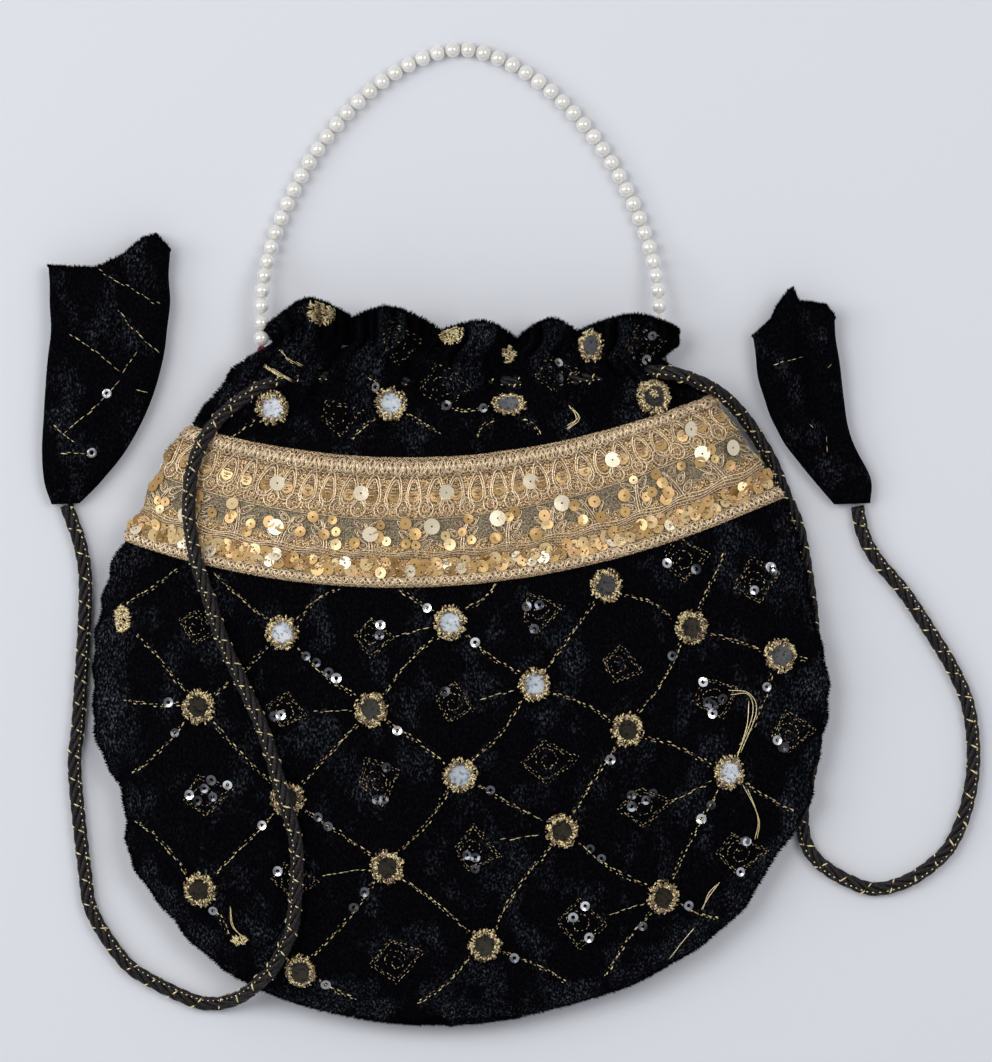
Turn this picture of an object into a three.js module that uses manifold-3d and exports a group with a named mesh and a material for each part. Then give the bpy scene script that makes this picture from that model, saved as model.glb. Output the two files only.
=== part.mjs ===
// A drawstring pouch bag in mirror-work velvet, lying on its back as it is laid down.
// Millimetres. X runs across the bag, Y up towards its handle, Z up from the table.
import * as THREE from 'three';
import { mergeVertices } from 'three/addons/utils/BufferGeometryUtils.js';
import Module from 'manifold-3d';

const wasm = await Module();
wasm.setup();

// Outline of the pouch, seen from the front
const bellyHalfWidth = 117;
const neckHalfWidth = 66.5;
const mouthHalfWidth = 65;
const bowlDepth = 105.5;
const shoulderRise = 106.2;
const frillHeight = 10.5;
const frillTurn = 7;
const outlinePower = 2.2;
const bottomLean = 8;
const leanPower = 1.5;
const mouthShift = 4.5;

// Thickness of the pouch as it lies flat
const seamHeight = 9;
const bellyRise = 20;
const neckRise = 9.5;
const underRoll = 35;
const underPower = 1.5;

// Section of the pouch: how square its crown is at the belly and at the neck
const bellyCrown = { squareness: 2.4, fullness: 0.75 };
const neckCrown = { squareness: 6, fullness: 0.5 };
const crownChange = { from: 0.6, to: 0.95 };
const edgeSquareness = 8;

// Cloth
const velvetWall = 1.2;
const liningWall = 0.8;
const seamAllowance = 7;
const neckAllowance = 1.8;
const allowanceChange = { from: 0.55, to: 0.9 };
const mouthHem = 1;
const clothGap = 0.4;
const liningDrop = 7;
const thinnest = 0.5;

// Gathers: their depth at the drawstring, what the frill adds and how far they run down the shoulders
const neckPleat = 0.9;
const frillPleat = 2.8;
const backPleat = 0.42;
const pleatReach = 38;

// Front of the frill from seam to seam, dips and crests in turn: how far across and above the mouth each is
const frontGathers = [
  [-1, 0], [-0.82, 10], [-0.61, 3.5], [-0.44, 7.5], [-0.18, -0.5], [0.03, 3],
  [0.2, -3.5], [0.37, 3.7], [0.5, -1], [0.78, 5], [1, 0],
];

// Back of the frill: even gathers
const backGathers = 7;
const backRise = 3;
const backScallop = 2.2;

// Lace band: where its edges meet the side seams, and how it sags across the front
const bandWidth = 34.7;
const bandBelowNeck = 16.3;
const bandDip = 21;
const bandTilt = 6.9;
const bandSettle = 5;
const bandFade = { far: 18, near: 4 };
const laceThickness = 0.8;
const braidWidth = 3.6;
const braidRise = 0.6;

// Drawstring and the channel that it runs in
const cordRadius = 2.2;
const cordSides = 8;
const cordGap = 0.3;
const channelBelowNeck = 7;
const channelHalfHeight = 5;
const channelFade = 7;
const slitClearance = 1;
const slitReach = 25;
const slitStep = 4;

// Pearl handle
const pearlRadius = 2.5;
const pearlPitch = 5;
const threadRadius = 1.05;
const handleHeight = 82.2;
const handlePower = 1.7;
const handleSettle = 26;
const pivotAboveMouth = 6.8;
const handleOutsideFrill = 1;
const handleInsideFrill = 4;
const pivotGap = 0.35;
const tailPearls = 2;
const pearlSides = 8;

// Mirror discs and their stitched rims
const mirrorRadius = 3.9;
const mirrorThickness = 0.8;
const rimRadius = 5.2;
const rimLip = 0.5;
const rimHeight = 1.5;
const mirrorSides = 8;
const seatSamples = 12;

// Tassels
const tasselWall = 1.1;
const tasselNeckHalfHeight = 2.6;
const tasselMouthHalfHeight = 5.5;
const tasselDepth = 0.62;
const tasselSides = 16;
const tasselRimFrom = 0.75;

// Facets
const columns = 84;
const bowlRows = 7;
const liningStep = 3;
const cordStep = 11;
const handleSamples = 40;

const { lerp, clamp, smoothstep } = THREE.MathUtils;

// Levels along Y, measured so that the whole bag is centred on the origin
const wholeHeight = bowlDepth + shoulderRise + frillHeight + pivotAboveMouth + handleHeight + pearlRadius;
const bellyY = bowlDepth - wholeHeight / 2;
const neckY = bellyY + shoulderRise;
const mouthY = neckY + frillHeight;
const pivotY = mouthY + pivotAboveMouth;
const bandTopY = neckY - bandBelowNeck;
const bandLowY = bandTopY - bandWidth;
const channelY = neckY - channelBelowNeck;

// Colours
const velvetMaterial = new THREE.MeshStandardMaterial({ color: 0x0c0c11, roughness: 0.95 });
const liningMaterial = new THREE.MeshStandardMaterial({ color: 0x15151b, roughness: 0.6 });
const laceMaterial = new THREE.MeshStandardMaterial({ color: 0xb98a4e, roughness: 0.45, metalness: 0.5 });
const pearlMaterial = new THREE.MeshStandardMaterial({ color: 0xe9e6df, roughness: 0.22 });
const cordMaterial = new THREE.MeshStandardMaterial({ color: 0x1d181a, roughness: 0.7 });
const mirrorMaterial = new THREE.MeshStandardMaterial({ color: 0xd5dbe0, roughness: 0.05, metalness: 1 });
const rimMaterial = new THREE.MeshStandardMaterial({ color: 0xc9973a, roughness: 0.4, metalness: 0.7 });

const group = new THREE.Group();

function add(name, geometry, material) {
  const mesh = new THREE.Mesh(geometry, material);
  mesh.name = name;
  group.add(mesh);
  return mesh;
}

// A closed skin over rings of equal count; a ring of one point is a pole, and a loop joins end to start
function skinOver(rings, loop = false) {
  const points = rings.flat();
  const starts = [];
  let total = 0;
  for (const ring of rings) {
    starts.push(total);
    total += ring.length;
  }
  const faces = [];
  const pairs = loop ? rings.length : rings.length - 1;
  for (let r = 0; r < pairs; r++) {
    const next = (r + 1) % rings.length;
    const count = Math.max(rings[r].length, rings[next].length);
    for (let k = 0; k < count; k++) {
      const after = (k + 1) % count;
      const a = starts[r] + (rings[r].length > 1 ? k : 0);
      const b = starts[r] + (rings[r].length > 1 ? after : 0);
      const c = starts[next] + (rings[next].length > 1 ? after : 0);
      const d = starts[next] + (rings[next].length > 1 ? k : 0);
      if (a !== b) faces.push(a, b, c);
      if (c !== d) faces.push(a, c, d);
    }
  }
  const geometry = new THREE.BufferGeometry().setFromPoints(points);
  geometry.setIndex(volumeOf(points, faces) < 0 ? faces.reverse() : faces);
  return geometry;
}

function volumeOf(points, faces) {
  let volume = 0;
  for (let f = 0; f < faces.length; f += 3) {
    const [a, b, c] = [points[faces[f]], points[faces[f + 1]], points[faces[f + 2]]];
    volume += a.dot(new THREE.Vector3().crossVectors(b, c)) / 6;
  }
  return volume;
}

// The flat outline: how far up the shoulder a level is, its middle and its half width
function shoulderShare(y) {
  return clamp((y - bellyY) / shoulderRise, 0, 1);
}

function bowlShare(y, inset = 0) {
  return clamp((bellyY - y) / (bowlDepth - inset), 0, 1);
}

function middleAt(y) {
  const lean = bottomLean * Math.pow(bowlShare(y), leanPower);
  return mouthShift * smoothstep(y, neckY, neckY + frillTurn) - lean;
}

function halfWidthAt(y, inset = 0) {
  if (y < bellyY) {
    const left = 1 - Math.pow(bowlShare(y, inset), outlinePower);
    return (bellyHalfWidth - inset) * Math.pow(left, 1 / outlinePower);
  }
  if (y < neckY) {
    const spread = 1 - Math.pow(shoulderShare(y), outlinePower);
    return lerp(neckHalfWidth, bellyHalfWidth, spread) - inset;
  }
  return lerp(neckHalfWidth, mouthHalfWidth, smoothstep(y, neckY, neckY + frillTurn)) - inset;
}

// 0 in the middle of the bag, 1 on the outline
function edgeShare(x, y, inset = 0) {
  const across = Math.abs(x - middleAt(y));
  if (y >= bellyY) return Math.min(1, across / halfWidthAt(y, inset));
  const wide = Math.pow(across / (bellyHalfWidth - inset), outlinePower);
  const deep = Math.pow(bowlShare(y, inset), outlinePower);
  return Math.min(1, Math.pow(wide + deep, 1 / outlinePower));
}

// Where across the front gathers a place lies: the number of the last dip or crest and the way to the next
function frontGather(across) {
  const next = Math.max(1, frontGathers.findIndex(([place]) => place >= across));
  const [from, to] = [frontGathers[next - 1], frontGathers[next]];
  return { before: next - 1, share: (across - from[0]) / (to[0] - from[0]), from, to };
}

function backPhase(across) {
  return 2 * backGathers * Math.acos(across);
}

// Gathered folds: largest in the frill, dying out down the shoulders and at the side seams
function foldAt(x, y, front) {
  const across = clamp((x - middleAt(y)) / halfWidthAt(y), -1, 1);
  const { before, share } = frontGather(across);
  const phase = front ? Math.PI * (before + share) : backPhase(across);
  return -Math.cos(phase) * edgeFill(Math.abs(across));
}

// How far the frill's edge stands above the mouth
function edgeRise(across, front) {
  if (!front) return (backRise - backScallop * Math.cos(backPhase(across))) * (1 - across * across);
  const { share, from, to } = frontGather(across);
  return lerp(from[1], to[1], (1 - Math.cos(Math.PI * share)) / 2);
}

function pleatDepth(y) {
  const shoulders = neckPleat * smoothstep(y, neckY - pleatReach, neckY - channelBelowNeck);
  return shoulders + frillPleat * smoothstep(y, neckY, mouthY);
}

// Height of the bag's front and of its underside over the table
function blunt(share, atNeck) {
  const squareness = lerp(bellyCrown.squareness, neckCrown.squareness, atNeck);
  const fullness = lerp(bellyCrown.fullness, neckCrown.fullness, atNeck);
  return Math.pow(1 - Math.pow(share, squareness), fullness);
}

function nearNeck(y) {
  return smoothstep(shoulderShare(y), crownChange.from, crownChange.to);
}

// Keeps what stands on the cloth at full height until close to the outline
function edgeFill(share) {
  return Math.sqrt(1 - share ** edgeSquareness);
}

function frontHeight(x, y, folded = true) {
  const share = edgeShare(x, y);
  const up = shoulderShare(y);
  const rise = lerp(bellyRise, neckRise, up * up);
  const fold = pleatDepth(y) * (folded ? foldAt(x, y, true) : -1);
  return seamHeight + rise * blunt(share, nearNeck(y)) + fold;
}

function underHeight(x, y, folded = true) {
  const share = edgeShare(x, y);
  const rolled = clamp(1 - (1 - share) * bellyHalfWidth / underRoll, 0, 1);
  const edge = seamHeight * lerp(Math.pow(rolled, underPower), 1 - blunt(share, 1), nearNeck(y));
  const belowBand = bandLowY - bandDip;
  const intoBand = smoothstep(y, belowBand - bandFade.far, belowBand - bandFade.near);
  const outOfBand = smoothstep(y, neckY - bandFade.far, neckY - bandFade.near);
  const laceRoom = clothGap + laceThickness + braidRise + cordGap;
  const fold = backPleat * pleatDepth(y) * (1 + (folded ? foldAt(x, y, false) : 1));
  return edge + (laceRoom * intoBand * (1 - outOfBand) + fold) * edgeFill(share);
}

// Rows run round the bag from seam to seam, sagging across the front and back like the lace does
function swayAt(level) {
  if (level < bellyY) return 1 - bowlShare(level);
  const above = clamp((level - bandLowY) / (channelY - bandLowY), 0, 1);
  return 1 - Math.pow(above, bandSettle);
}

function rowPlace(level, across, front, inset = 0) {
  const sway = swayAt(level);
  const lowSide = level - sway * bandTilt;
  const highSide = level + sway * bandTilt;
  const left = middleAt(lowSide) - halfWidthAt(lowSide, inset);
  const right = middleAt(highSide) + halfWidthAt(highSide, inset);
  const x = lerp(left, right, (1 + across) / 2);
  const sag = sway * (bandTilt * across - bandDip * (1 - across * across));
  return [x, level + sag + smoothstep(level, neckY, mouthY) * edgeRise(across, front)];
}

function acrossAt(column) {
  return Math.cos(2 * Math.PI * column / columns);
}

function isFront(column) {
  return column % columns < columns / 2;
}

function outerPoint(level, column) {
  const [x, y] = rowPlace(level, acrossAt(column), isFront(column));
  const onSeam = column % (columns / 2) === 0;
  const z = onSeam ? seamHeight : isFront(column) ? frontHeight(x, y) : underHeight(x, y);
  return new THREE.Vector3(x, y, z);
}

// A point of an inner layer: in from the outline by inset, in from the cloth by depth
function innerPoint(level, column, layer) {
  const inset = allowanceAt(level) + layer.inset;
  const [x, y] = rowPlace(level, acrossAt(column), isFront(column), inset);
  const fill = edgeFill(edgeShare(x, y, inset));
  if (!isFront(column)) {
    const under = Math.max(thinnest, seamHeight - underHeight(x, y, layer.folded) - layer.depth);
    return new THREE.Vector3(x, y, seamHeight - under * fill);
  }
  const offChannel = Math.abs(level - channelY);
  const outOfChannel = smoothstep(offChannel, channelHalfHeight, channelHalfHeight + channelFade);
  const channel = layer.channel * (1 - outOfChannel);
  const over = Math.max(thinnest, frontHeight(x, y, layer.folded) - layer.depth - channel - seamHeight);
  return new THREE.Vector3(x, y, seamHeight + over * fill);
}

function ringOf(pointAt, step = 1) {
  return Array.from({ length: columns / step }, (_, place) => pointAt(place * step));
}

function allowanceAt(level) {
  const change = smoothstep(shoulderShare(level), allowanceChange.from, allowanceChange.to);
  return lerp(seamAllowance, neckAllowance, change);
}

// Levels from the bottom seam up to a top level
function levelsUpTo(top, extra) {
  const levels = [];
  for (let r = 1; r <= bowlRows; r++) {
    levels.push(bellyY - bowlDepth * Math.cos(r / bowlRows * Math.PI / 2));
  }
  return levels.concat(extra.filter((level) => level < top - mouthHem), top);
}

function bottomPole(inset) {
  const y = bellyY - bowlDepth + inset;
  return [new THREE.Vector3(middleAt(y), y, seamHeight)];
}

// Velvet pouch: outside from the bottom seam to the mouth, then the inside back down
const bandLevels = [bandLowY, lerp(bandLowY, bandTopY, 0.5), bandTopY];
const neckLevels = [lerp(bandTopY, channelY, 0.5), channelY, lerp(channelY, neckY, 0.85)];
const frillLevels = [lerp(neckY, mouthY, 0.35), lerp(neckY, mouthY, 0.7)];
const bodyLevels = [lerp(bellyY, bandLowY, 0.5), ...bandLevels, ...neckLevels, ...frillLevels];
const outerLevels = levelsUpTo(mouthY, bodyLevels);
const velvetOuter = outerLevels.map((level) => ringOf((column) => outerPoint(level, column)));

function innerRings(levels, layer, step = 1) {
  return levels.map((level) => ringOf((column) => innerPoint(level, column, layer), step));
}

const innerBowlShares = [0.9, 0.66, 0.34];

function insideLevels(inset, top) {
  const bowl = innerBowlShares.map((share) => bellyY - (bowlDepth - inset) * share);
  const above = [bellyY, bandLowY, bandTopY, ...neckLevels, ...frillLevels];
  return bowl.concat(above.filter((level) => level < top - mouthHem), top);
}

const velvetInside = { inset: 0, depth: velvetWall, channel: 0, folded: true };
const velvetInner = innerRings(insideLevels(seamAllowance, mouthY - mouthHem), velvetInside);
const mouthInner = velvetInner[velvetInner.length - 1];
const mouthOuter = velvetOuter[velvetOuter.length - 1];
mouthInner.forEach((point, column) => point.setY(mouthOuter[column].y));
const velvetWhole = skinOver([
  bottomPole(0), ...velvetOuter, ...velvetInner.reverse(), bottomPole(seamAllowance),
]);

// The drawstring's free ends: inside the channel, out through a slit, and along the table
const leftRoute = [
  [-46, 49.5, 14.0], [-53, 48.8, 14.8], [-59, 47.6, 17.6], [-64, 45.8, 20.3], [-68, 43.4, 20.3],
  [-72, 40.6, 19.7], [-75.5, 37.8, 19.1], [-79, 33.8, 19.6], [-82, 29.4, 20.2], [-84.4, 24, 19.7],
  [-86, 18, 19.8], [-86.6, 11, 20.3], [-86.6, 4, 21.3], [-84, -10, 24.0], [-80, -22, 24.4],
  [-75.8, -34.6, 25.9], [-70, -47, 27.2], [-64, -60.2, 28.1], [-60, -72, 28.6], [-56, -85.8, 29.8],
  [-53, -96, 27.8], [-52.2, -105, 26.4], [-53.6, -124, 22.7], [-56, -131, 20.4], [-60, -138.6, 17.5],
  [-64, -143, 14.5], [-68.4, -146.8, 9.9], [-73, -149.4, 5.2], [-79, -150.8, 2.5], [-86, -149.8, 2.2],
  [-99.5, -143.4, 2.2], [-108.2, -137, 2.2], [-118, -122, 2.2], [-120.6, -108.2, 2.2],
  [-123.8, -76.2, 2.2], [-122.6, -60.2, 2.2], [-120.4, -22, 2.2], [-121.6, -6, 2.2], [-126.4, 8.4, 2.2],
];
const rightRoute = [
  [50, 50, 14.2], [56.5, 50.6, 14.8], [61.5, 51, 17.1], [66, 50.6, 18.9], [70.4, 49.6, 18.4],
  [74.8, 48, 16.9], [78.8, 46.2, 14.6], [82.6, 43.8, 11.2], [86.4, 40.6, 7.2], [90.2, 36.4, 4.2],
  [94.6, 30.1, 2.6], [99.4, 21.6, 2.2], [103.6, 11, 2.2], [107.4, 1.6, 2.2], [110, -12.2, 2.2],
  [112, -28, 2.2], [113, -48, 2.2], [113, -66, 2.2], [110.6, -80, 2.2], [108.8, -90, 2.2],
  [110, -99.4, 2.2], [114.6, -106, 2.2], [123.2, -111.4, 2.2], [132.2, -114.2, 2.2],
  [142.8, -111.4, 2.2], [152, -105, 2.2], [157.2, -98.6, 2.2], [161.6, -87, 2.2], [163.6, -73, 2.2],
  [162.2, -57, 2.2], [157.6, -45, 2.2], [149.6, -31.6, 2.2], [141.2, -19, 2.2], [132.8, -9, 2.2],
  [128.4, -1, 2.2], [126.4, 8.0, 2.2],
];

function curveThrough(points) {
  return new THREE.CatmullRomCurve3(points.map((p) => new THREE.Vector3(...p)));
}

function tubeAlong(curve, radius, step = cordStep) {
  const corners = Array.from({ length: cordSides }, (_, side) => {
    const angle = 2 * Math.PI * (side + 0.5) / cordSides;
    return new THREE.Vector2(radius * Math.cos(angle), radius * Math.sin(angle));
  });
  const steps = Math.max(2, Math.round(curve.getLength() / step));
  const tube = new THREE.ExtrudeGeometry(new THREE.Shape(corners), { steps, extrudePath: curve });
  tube.deleteAttribute('normal');
  tube.deleteAttribute('uv');
  return mergeVertices(tube, 1e-4);
}

const leftCord = curveThrough(leftRoute);
const rightCord = curveThrough(rightRoute);

// Slits for the drawstring: its own first stretch, made wider, is taken out of the velvet
function asSolid(geometry) {
  const merged = mergeVertices(geometry, 1e-4);
  return new wasm.Manifold(new wasm.Mesh({
    numProp: 3,
    vertProperties: Float32Array.from(merged.attributes.position.array),
    triVerts: Uint32Array.from(merged.index.array),
  }));
}

function asGeometry(solid) {
  const mesh = solid.getMesh();
  const geometry = new THREE.BufferGeometry();
  geometry.setAttribute('position', new THREE.BufferAttribute(Float32Array.from(mesh.vertProperties), 3));
  geometry.setIndex(new THREE.BufferAttribute(Uint32Array.from(mesh.triVerts), 1));
  return geometry;
}

const slitRadius = cordRadius + slitClearance;
let velvetSolid = asSolid(velvetWhole);
for (const cord of [leftCord, rightCord]) {
  const firstShare = slitReach / cord.getLength();
  const throughWall = [0, 0.25, 0.5, 0.75, 1].map((share) => cord.getPointAt(share * firstShare).toArray());
  velvetSolid = velvetSolid.subtract(asSolid(tubeAlong(curveThrough(throughWall), slitRadius, slitStep)));
}
add('velvet_pouch', asGeometry(velvetSolid), velvetMaterial);

// Lining: an inner bag sewn in below the frill's edge, standing off the velvet where the channel runs
const channelDepth = 2 * (cordRadius + cordGap);
const liningTop = mouthY - liningDrop;

function liningLayer(inset) {
  return { inset, depth: velvetWall + inset, channel: channelDepth, folded: false };
}

const liningFaces = [clothGap, clothGap + liningWall].map((inset) => {
  const levels = insideLevels(seamAllowance + inset, liningTop);
  return innerRings(levels, liningLayer(inset), liningStep);
});
add('lining_pouch', skinOver([
  bottomPole(seamAllowance + clothGap), ...liningFaces[0],
  ...liningFaces[1].reverse(), bottomPole(seamAllowance + clothGap + liningWall),
]), liningMaterial);

// The drawstring: the run hidden in the channel, and the two free ends
const [channelFrom, channelTo] = [leftRoute[0], rightRoute[0]];

function inChannel(share) {
  const x = lerp(channelFrom[0], channelTo[0], share);
  const velvetUnder = frontHeight(x, channelY, false) - velvetWall;
  return [x, channelY, velvetUnder - 2 * cordGap - cordRadius];
}

const channelRun = curveThrough([
  [channelFrom[0] + 2 * cordGap, channelFrom[1], channelFrom[2]],
  ...[0.25, 0.5, 0.75].map(inChannel),
  [channelTo[0] - 2 * cordGap, channelTo[1], channelTo[2]],
]);
add('drawstring_in_channel', tubeAlong(channelRun, cordRadius), cordMaterial);
add('drawstring_left', tubeAlong(leftCord, cordRadius), cordMaterial);
add('drawstring_right', tubeAlong(rightCord, cordRadius), cordMaterial);

// Lace band sewn round the outside, with a raised braid along each edge
function outwardAt(level, column) {
  const before = (column + columns - 1) % columns;
  const after = (column + 1) % columns;
  const round = outerPoint(level, after).sub(outerPoint(level, before));
  const up = outerPoint(level + 1, column).sub(outerPoint(level - 1, column));
  return round.cross(up).normalize().negate();
}

function laceRing(rise, lift) {
  const level = bandLowY + rise;
  return ringOf((column) => outerPoint(level, column).addScaledVector(outwardAt(level, column), lift));
}

const laceTop = clothGap + laceThickness;
const braidTop = laceTop + braidRise;
const laceOutside = [
  [0, laceTop], [braidWidth / 2, braidTop], [braidWidth, laceTop], [bandWidth / 2, laceTop],
  [bandWidth - braidWidth, laceTop], [bandWidth - braidWidth / 2, braidTop], [bandWidth, laceTop],
];
const laceInside = [bandWidth, bandWidth / 2, 0].map((rise) => [rise, clothGap]);
add('lace_band', skinOver(laceOutside.concat(laceInside).map(([rise, lift]) => laceRing(rise, lift)), true),
  laceMaterial);

// Pearl handle: a string of pearls that leaves the frill at two pivots and settles on the table
const pivotHeight = seamHeight;
const frillLeft = middleAt(mouthY) - mouthHalfWidth;
const frillRight = middleAt(mouthY) + mouthHalfWidth;
const leftPivotX = frillLeft - handleOutsideFrill - pearlRadius;
const rightPivotX = frillRight - handleInsideFrill - pearlRadius;
const handleMiddle = (leftPivotX + rightPivotX) / 2;
const handleHalfSpan = (rightPivotX - leftPivotX) / 2;

function archPoint(share) {
  const [cosine, sine] = [Math.cos(Math.PI * share), Math.sin(Math.PI * share)];
  const across = -Math.sign(cosine) * Math.abs(cosine) ** (2 / handlePower);
  const up = handleHeight * Math.abs(sine) ** (2 / handlePower);
  const height = lerp(pivotHeight, pearlRadius, smoothstep(up, 0, handleSettle));
  return new THREE.Vector3(handleMiddle + handleHalfSpan * across, pivotY + up, height);
}

// Pearls threaded along a curve: each swells from the thread to its full radius and back
function pearlString(curve, count) {
  const swell = [[0.16, 0.76], [0.5, 1], [0.84, 0.76]];
  const rings = [[curve.getPointAt(0)]];
  for (let pearl = 0; pearl < count; pearl++) {
    if (pearl > 0) rings.push(ringAround(curve, pearl / count, threadRadius));
    for (const [along, size] of swell) {
      rings.push(ringAround(curve, (pearl + along) / count, pearlRadius * size));
    }
  }
  rings.push([curve.getPointAt(1)]);
  return skinOver(rings);
}

function ringAround(curve, share, radius) {
  const centre = curve.getPointAt(share);
  const along = curve.getTangentAt(share);
  const side = new THREE.Vector3(0, 0, 1).cross(along).normalize();
  const up = along.clone().cross(side);
  return Array.from({ length: pearlSides }, (_, corner) => {
    const angle = 2 * Math.PI * (corner + 0.5) / pearlSides;
    return centre.clone()
      .addScaledVector(side, radius * Math.cos(angle))
      .addScaledVector(up, radius * Math.sin(angle));
  });
}

// The end pearls are centred on the pivot line, so the string starts half a pearl below it
const arch = Array.from({ length: handleSamples + 1 }, (_, sample) => archPoint(sample / handleSamples));
const halfPearl = new THREE.Vector3(0, pearlRadius, 0);
const handleCurve = new THREE.CatmullRomCurve3([
  arch[0].clone().sub(halfPearl), ...arch, arch[handleSamples].clone().sub(halfPearl),
]);
const handlePearls = Math.round(handleCurve.getLength() / pearlPitch);
add('pearl_handle', pearlString(handleCurve, handlePearls), pearlMaterial);

function pearlTail(x) {
  const top = pivotY - pearlRadius - pivotGap;
  const tail = new THREE.LineCurve3(
    new THREE.Vector3(x, top, pivotHeight), new THREE.Vector3(x, top - tailPearls * pearlPitch, pivotHeight),
  );
  return pearlString(tail, tailPearls);
}

add('pearl_tail_left', pearlTail(leftPivotX), pearlMaterial);
add('pearl_tail_right', pearlTail(rightPivotX), pearlMaterial);

// Mirror work: discs held down by stitched rims, seated on the velvet where they are sewn. Each place is
// how far across its row it lies and how far its row is from one level to the next
const bottomY = bellyY - bowlDepth;
const mirrorZones = [
  { from: bandTopY, to: channelY, places: [[-0.757, 0.61], [-0.28, 0.75], [0.22, 0.7], [0.815, 0.47]] },
  { from: neckY, to: mouthY, places: [[0.6, 0.34]] },
  {
    from: bandLowY,
    to: bellyY,
    places: [
      [-0.49, 0.3], [-0.01, 0.21], [0.45, 0.135], [0.65, 0.48], [0.87, 0.8],
      [-0.71, 0.8], [-0.24, 0.7], [0.21, 0.61], [0.45, 0.96],
    ],
  },
  {
    from: bellyY,
    to: bottomY,
    places: [
      [-0.475, 0.16], [-0.005, 0.055], [0.73, 0.2], [-0.795, 0.53], [-0.21, 0.395], [0.28, 0.295],
      [-0.62, 0.8], [0.11, 0.695], [0.655, 0.58],
    ],
  },
];
const mirrorPlaces = mirrorZones.flatMap(({ from, to, places }) => (
  places.map(([across, share]) => rowPlace(lerp(from, to, share), across, true))
));
const sewnTo = new THREE.Mesh(velvetWhole);
const downRay = new THREE.Raycaster();
downRay.ray.direction.set(0, 0, -1);

function velvetAt(x, y) {
  downRay.ray.origin.set(x, y, 100);
  return downRay.intersectObject(sewnTo)[0]?.point;
}

function seatFor(x, y, radius) {
  const around = Array.from({ length: seatSamples }, (_, step) => {
    const angle = 2 * Math.PI * step / seatSamples;
    return velvetAt(x + radius * Math.cos(angle), y + radius * Math.sin(angle));
  });
  const [right, top, left, low] = [0, 0.25, 0.5, 0.75].map((turn) => around[turn * seatSamples].z);
  const slopeX = (right - left) / (2 * radius);
  const slopeY = (top - low) / (2 * radius);
  const normal = new THREE.Vector3(-slopeX, -slopeY, 1).normalize();
  const centre = velvetAt(x, y);
  const stands = around.concat(centre).map((point) => point.clone().sub(centre).dot(normal));
  return { centre, normal, lift: Math.max(...stands) + cordGap };
}

function turned(profile) {
  const shape = new THREE.LatheGeometry(profile.map(([r, z]) => new THREE.Vector2(r, z)), mirrorSides);
  shape.rotateX(Math.PI / 2);
  shape.deleteAttribute('normal');
  shape.deleteAttribute('uv');
  return mergeVertices(shape, 1e-4);
}

function mirrorShape() {
  return turned([[0, 0], [mirrorRadius, 0], [mirrorRadius, mirrorThickness], [0, mirrorThickness]]);
}

function rimShape() {
  const inner = mirrorRadius + cordGap;
  const lipUnder = mirrorThickness + cordGap;
  return turned([
    [inner, 0], [rimRadius, 0], [inner, rimHeight], [mirrorRadius - rimLip, rimHeight],
    [mirrorRadius - rimLip, lipUnder], [inner, lipUnder], [inner, 0],
  ]);
}

mirrorPlaces.forEach(([x, y], index) => {
  const seat = seatFor(x, y, rimRadius);
  const number = String(index + 1).padStart(2, '0');
  const turn = new THREE.Quaternion().setFromUnitVectors(new THREE.Vector3(0, 0, 1), seat.normal);
  const pieces = [
    add(`mirror_${number}`, mirrorShape(), mirrorMaterial),
    add(`mirror_rim_${number}`, rimShape(), rimMaterial),
  ];
  for (const piece of pieces) {
    piece.quaternion.copy(turn);
    piece.position.copy(seat.centre).addScaledVector(seat.normal, seat.lift);
  }
});

// Tassels: a folded cone of velvet at each end of the drawstring, open at its wide end
const leftTasselEdges = {
  left: [[-131.2, 8.8], [-133.6, 16.6], [-134.2, 29.4], [-132.8, 48.6], [-131.5, 67.8], [-131.8, 84.5]],
  right: [[-122.2, 9.2], [-114.9, 16.6], [-105.3, 29.4], [-97, 48.6], [-93.6, 70], [-99, 93]],
};
const rightTasselEdges = {
  left: [[119, 8.8], [112.3, 16.6], [102.4, 29.4], [96.6, 42.2], [94.2, 53], [93.4, 62]],
  right: [[130.6, 9.2], [130.6, 17.4], [124.4, 30], [122.2, 42.2], [120.4, 56], [118.4, 72.6]],
};

function edgeCurve(points) {
  return new THREE.SplineCurve(points.map((p) => new THREE.Vector2(...p)));
}

function tasselShell(edges, rimPeak) {
  const left = edgeCurve(edges.left);
  const right = edgeCurve(edges.right);
  const ringAt = (share, inset) => {
    const from = left.getPoint(share);
    const to = right.getPoint(share);
    const half = to.clone().sub(from).multiplyScalar(0.5);
    const centre = from.clone().add(half);
    half.setLength(half.length() - inset);
    const height = lerp(tasselNeckHalfHeight, tasselMouthHalfHeight, Math.sqrt(share));
    return Array.from({ length: tasselSides }, (_, side) => {
      const angle = 2 * Math.PI * side / tasselSides;
      const peak = rimPeak * Math.sin(angle) ** 2 * smoothstep(share, tasselRimFrom, 1);
      return new THREE.Vector3(
        centre.x + half.x * Math.cos(angle), centre.y + half.y * Math.cos(angle) + peak,
        height + (height - inset) * Math.sin(angle),
      );
    });
  };
  const outside = [0, 0.12, 0.3, 0.5, 0.7, 0.86, 1].map((share) => ringAt(share, 0));
  const inside = [1, 0.8, 1 - tasselDepth].map((share) => ringAt(share, tasselWall));
  const cap = (ring) => [ring.reduce((sum, p) => sum.add(p), new THREE.Vector3()).divideScalar(ring.length)];
  return skinOver([cap(outside[0]), ...outside, ...inside, cap(inside[inside.length - 1])]);
}

add('tassel_left', tasselShell(leftTasselEdges, -3), velvetMaterial);
add('tassel_right', tasselShell(rightTasselEdges, 7), velvetMaterial);

export default group;
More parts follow.
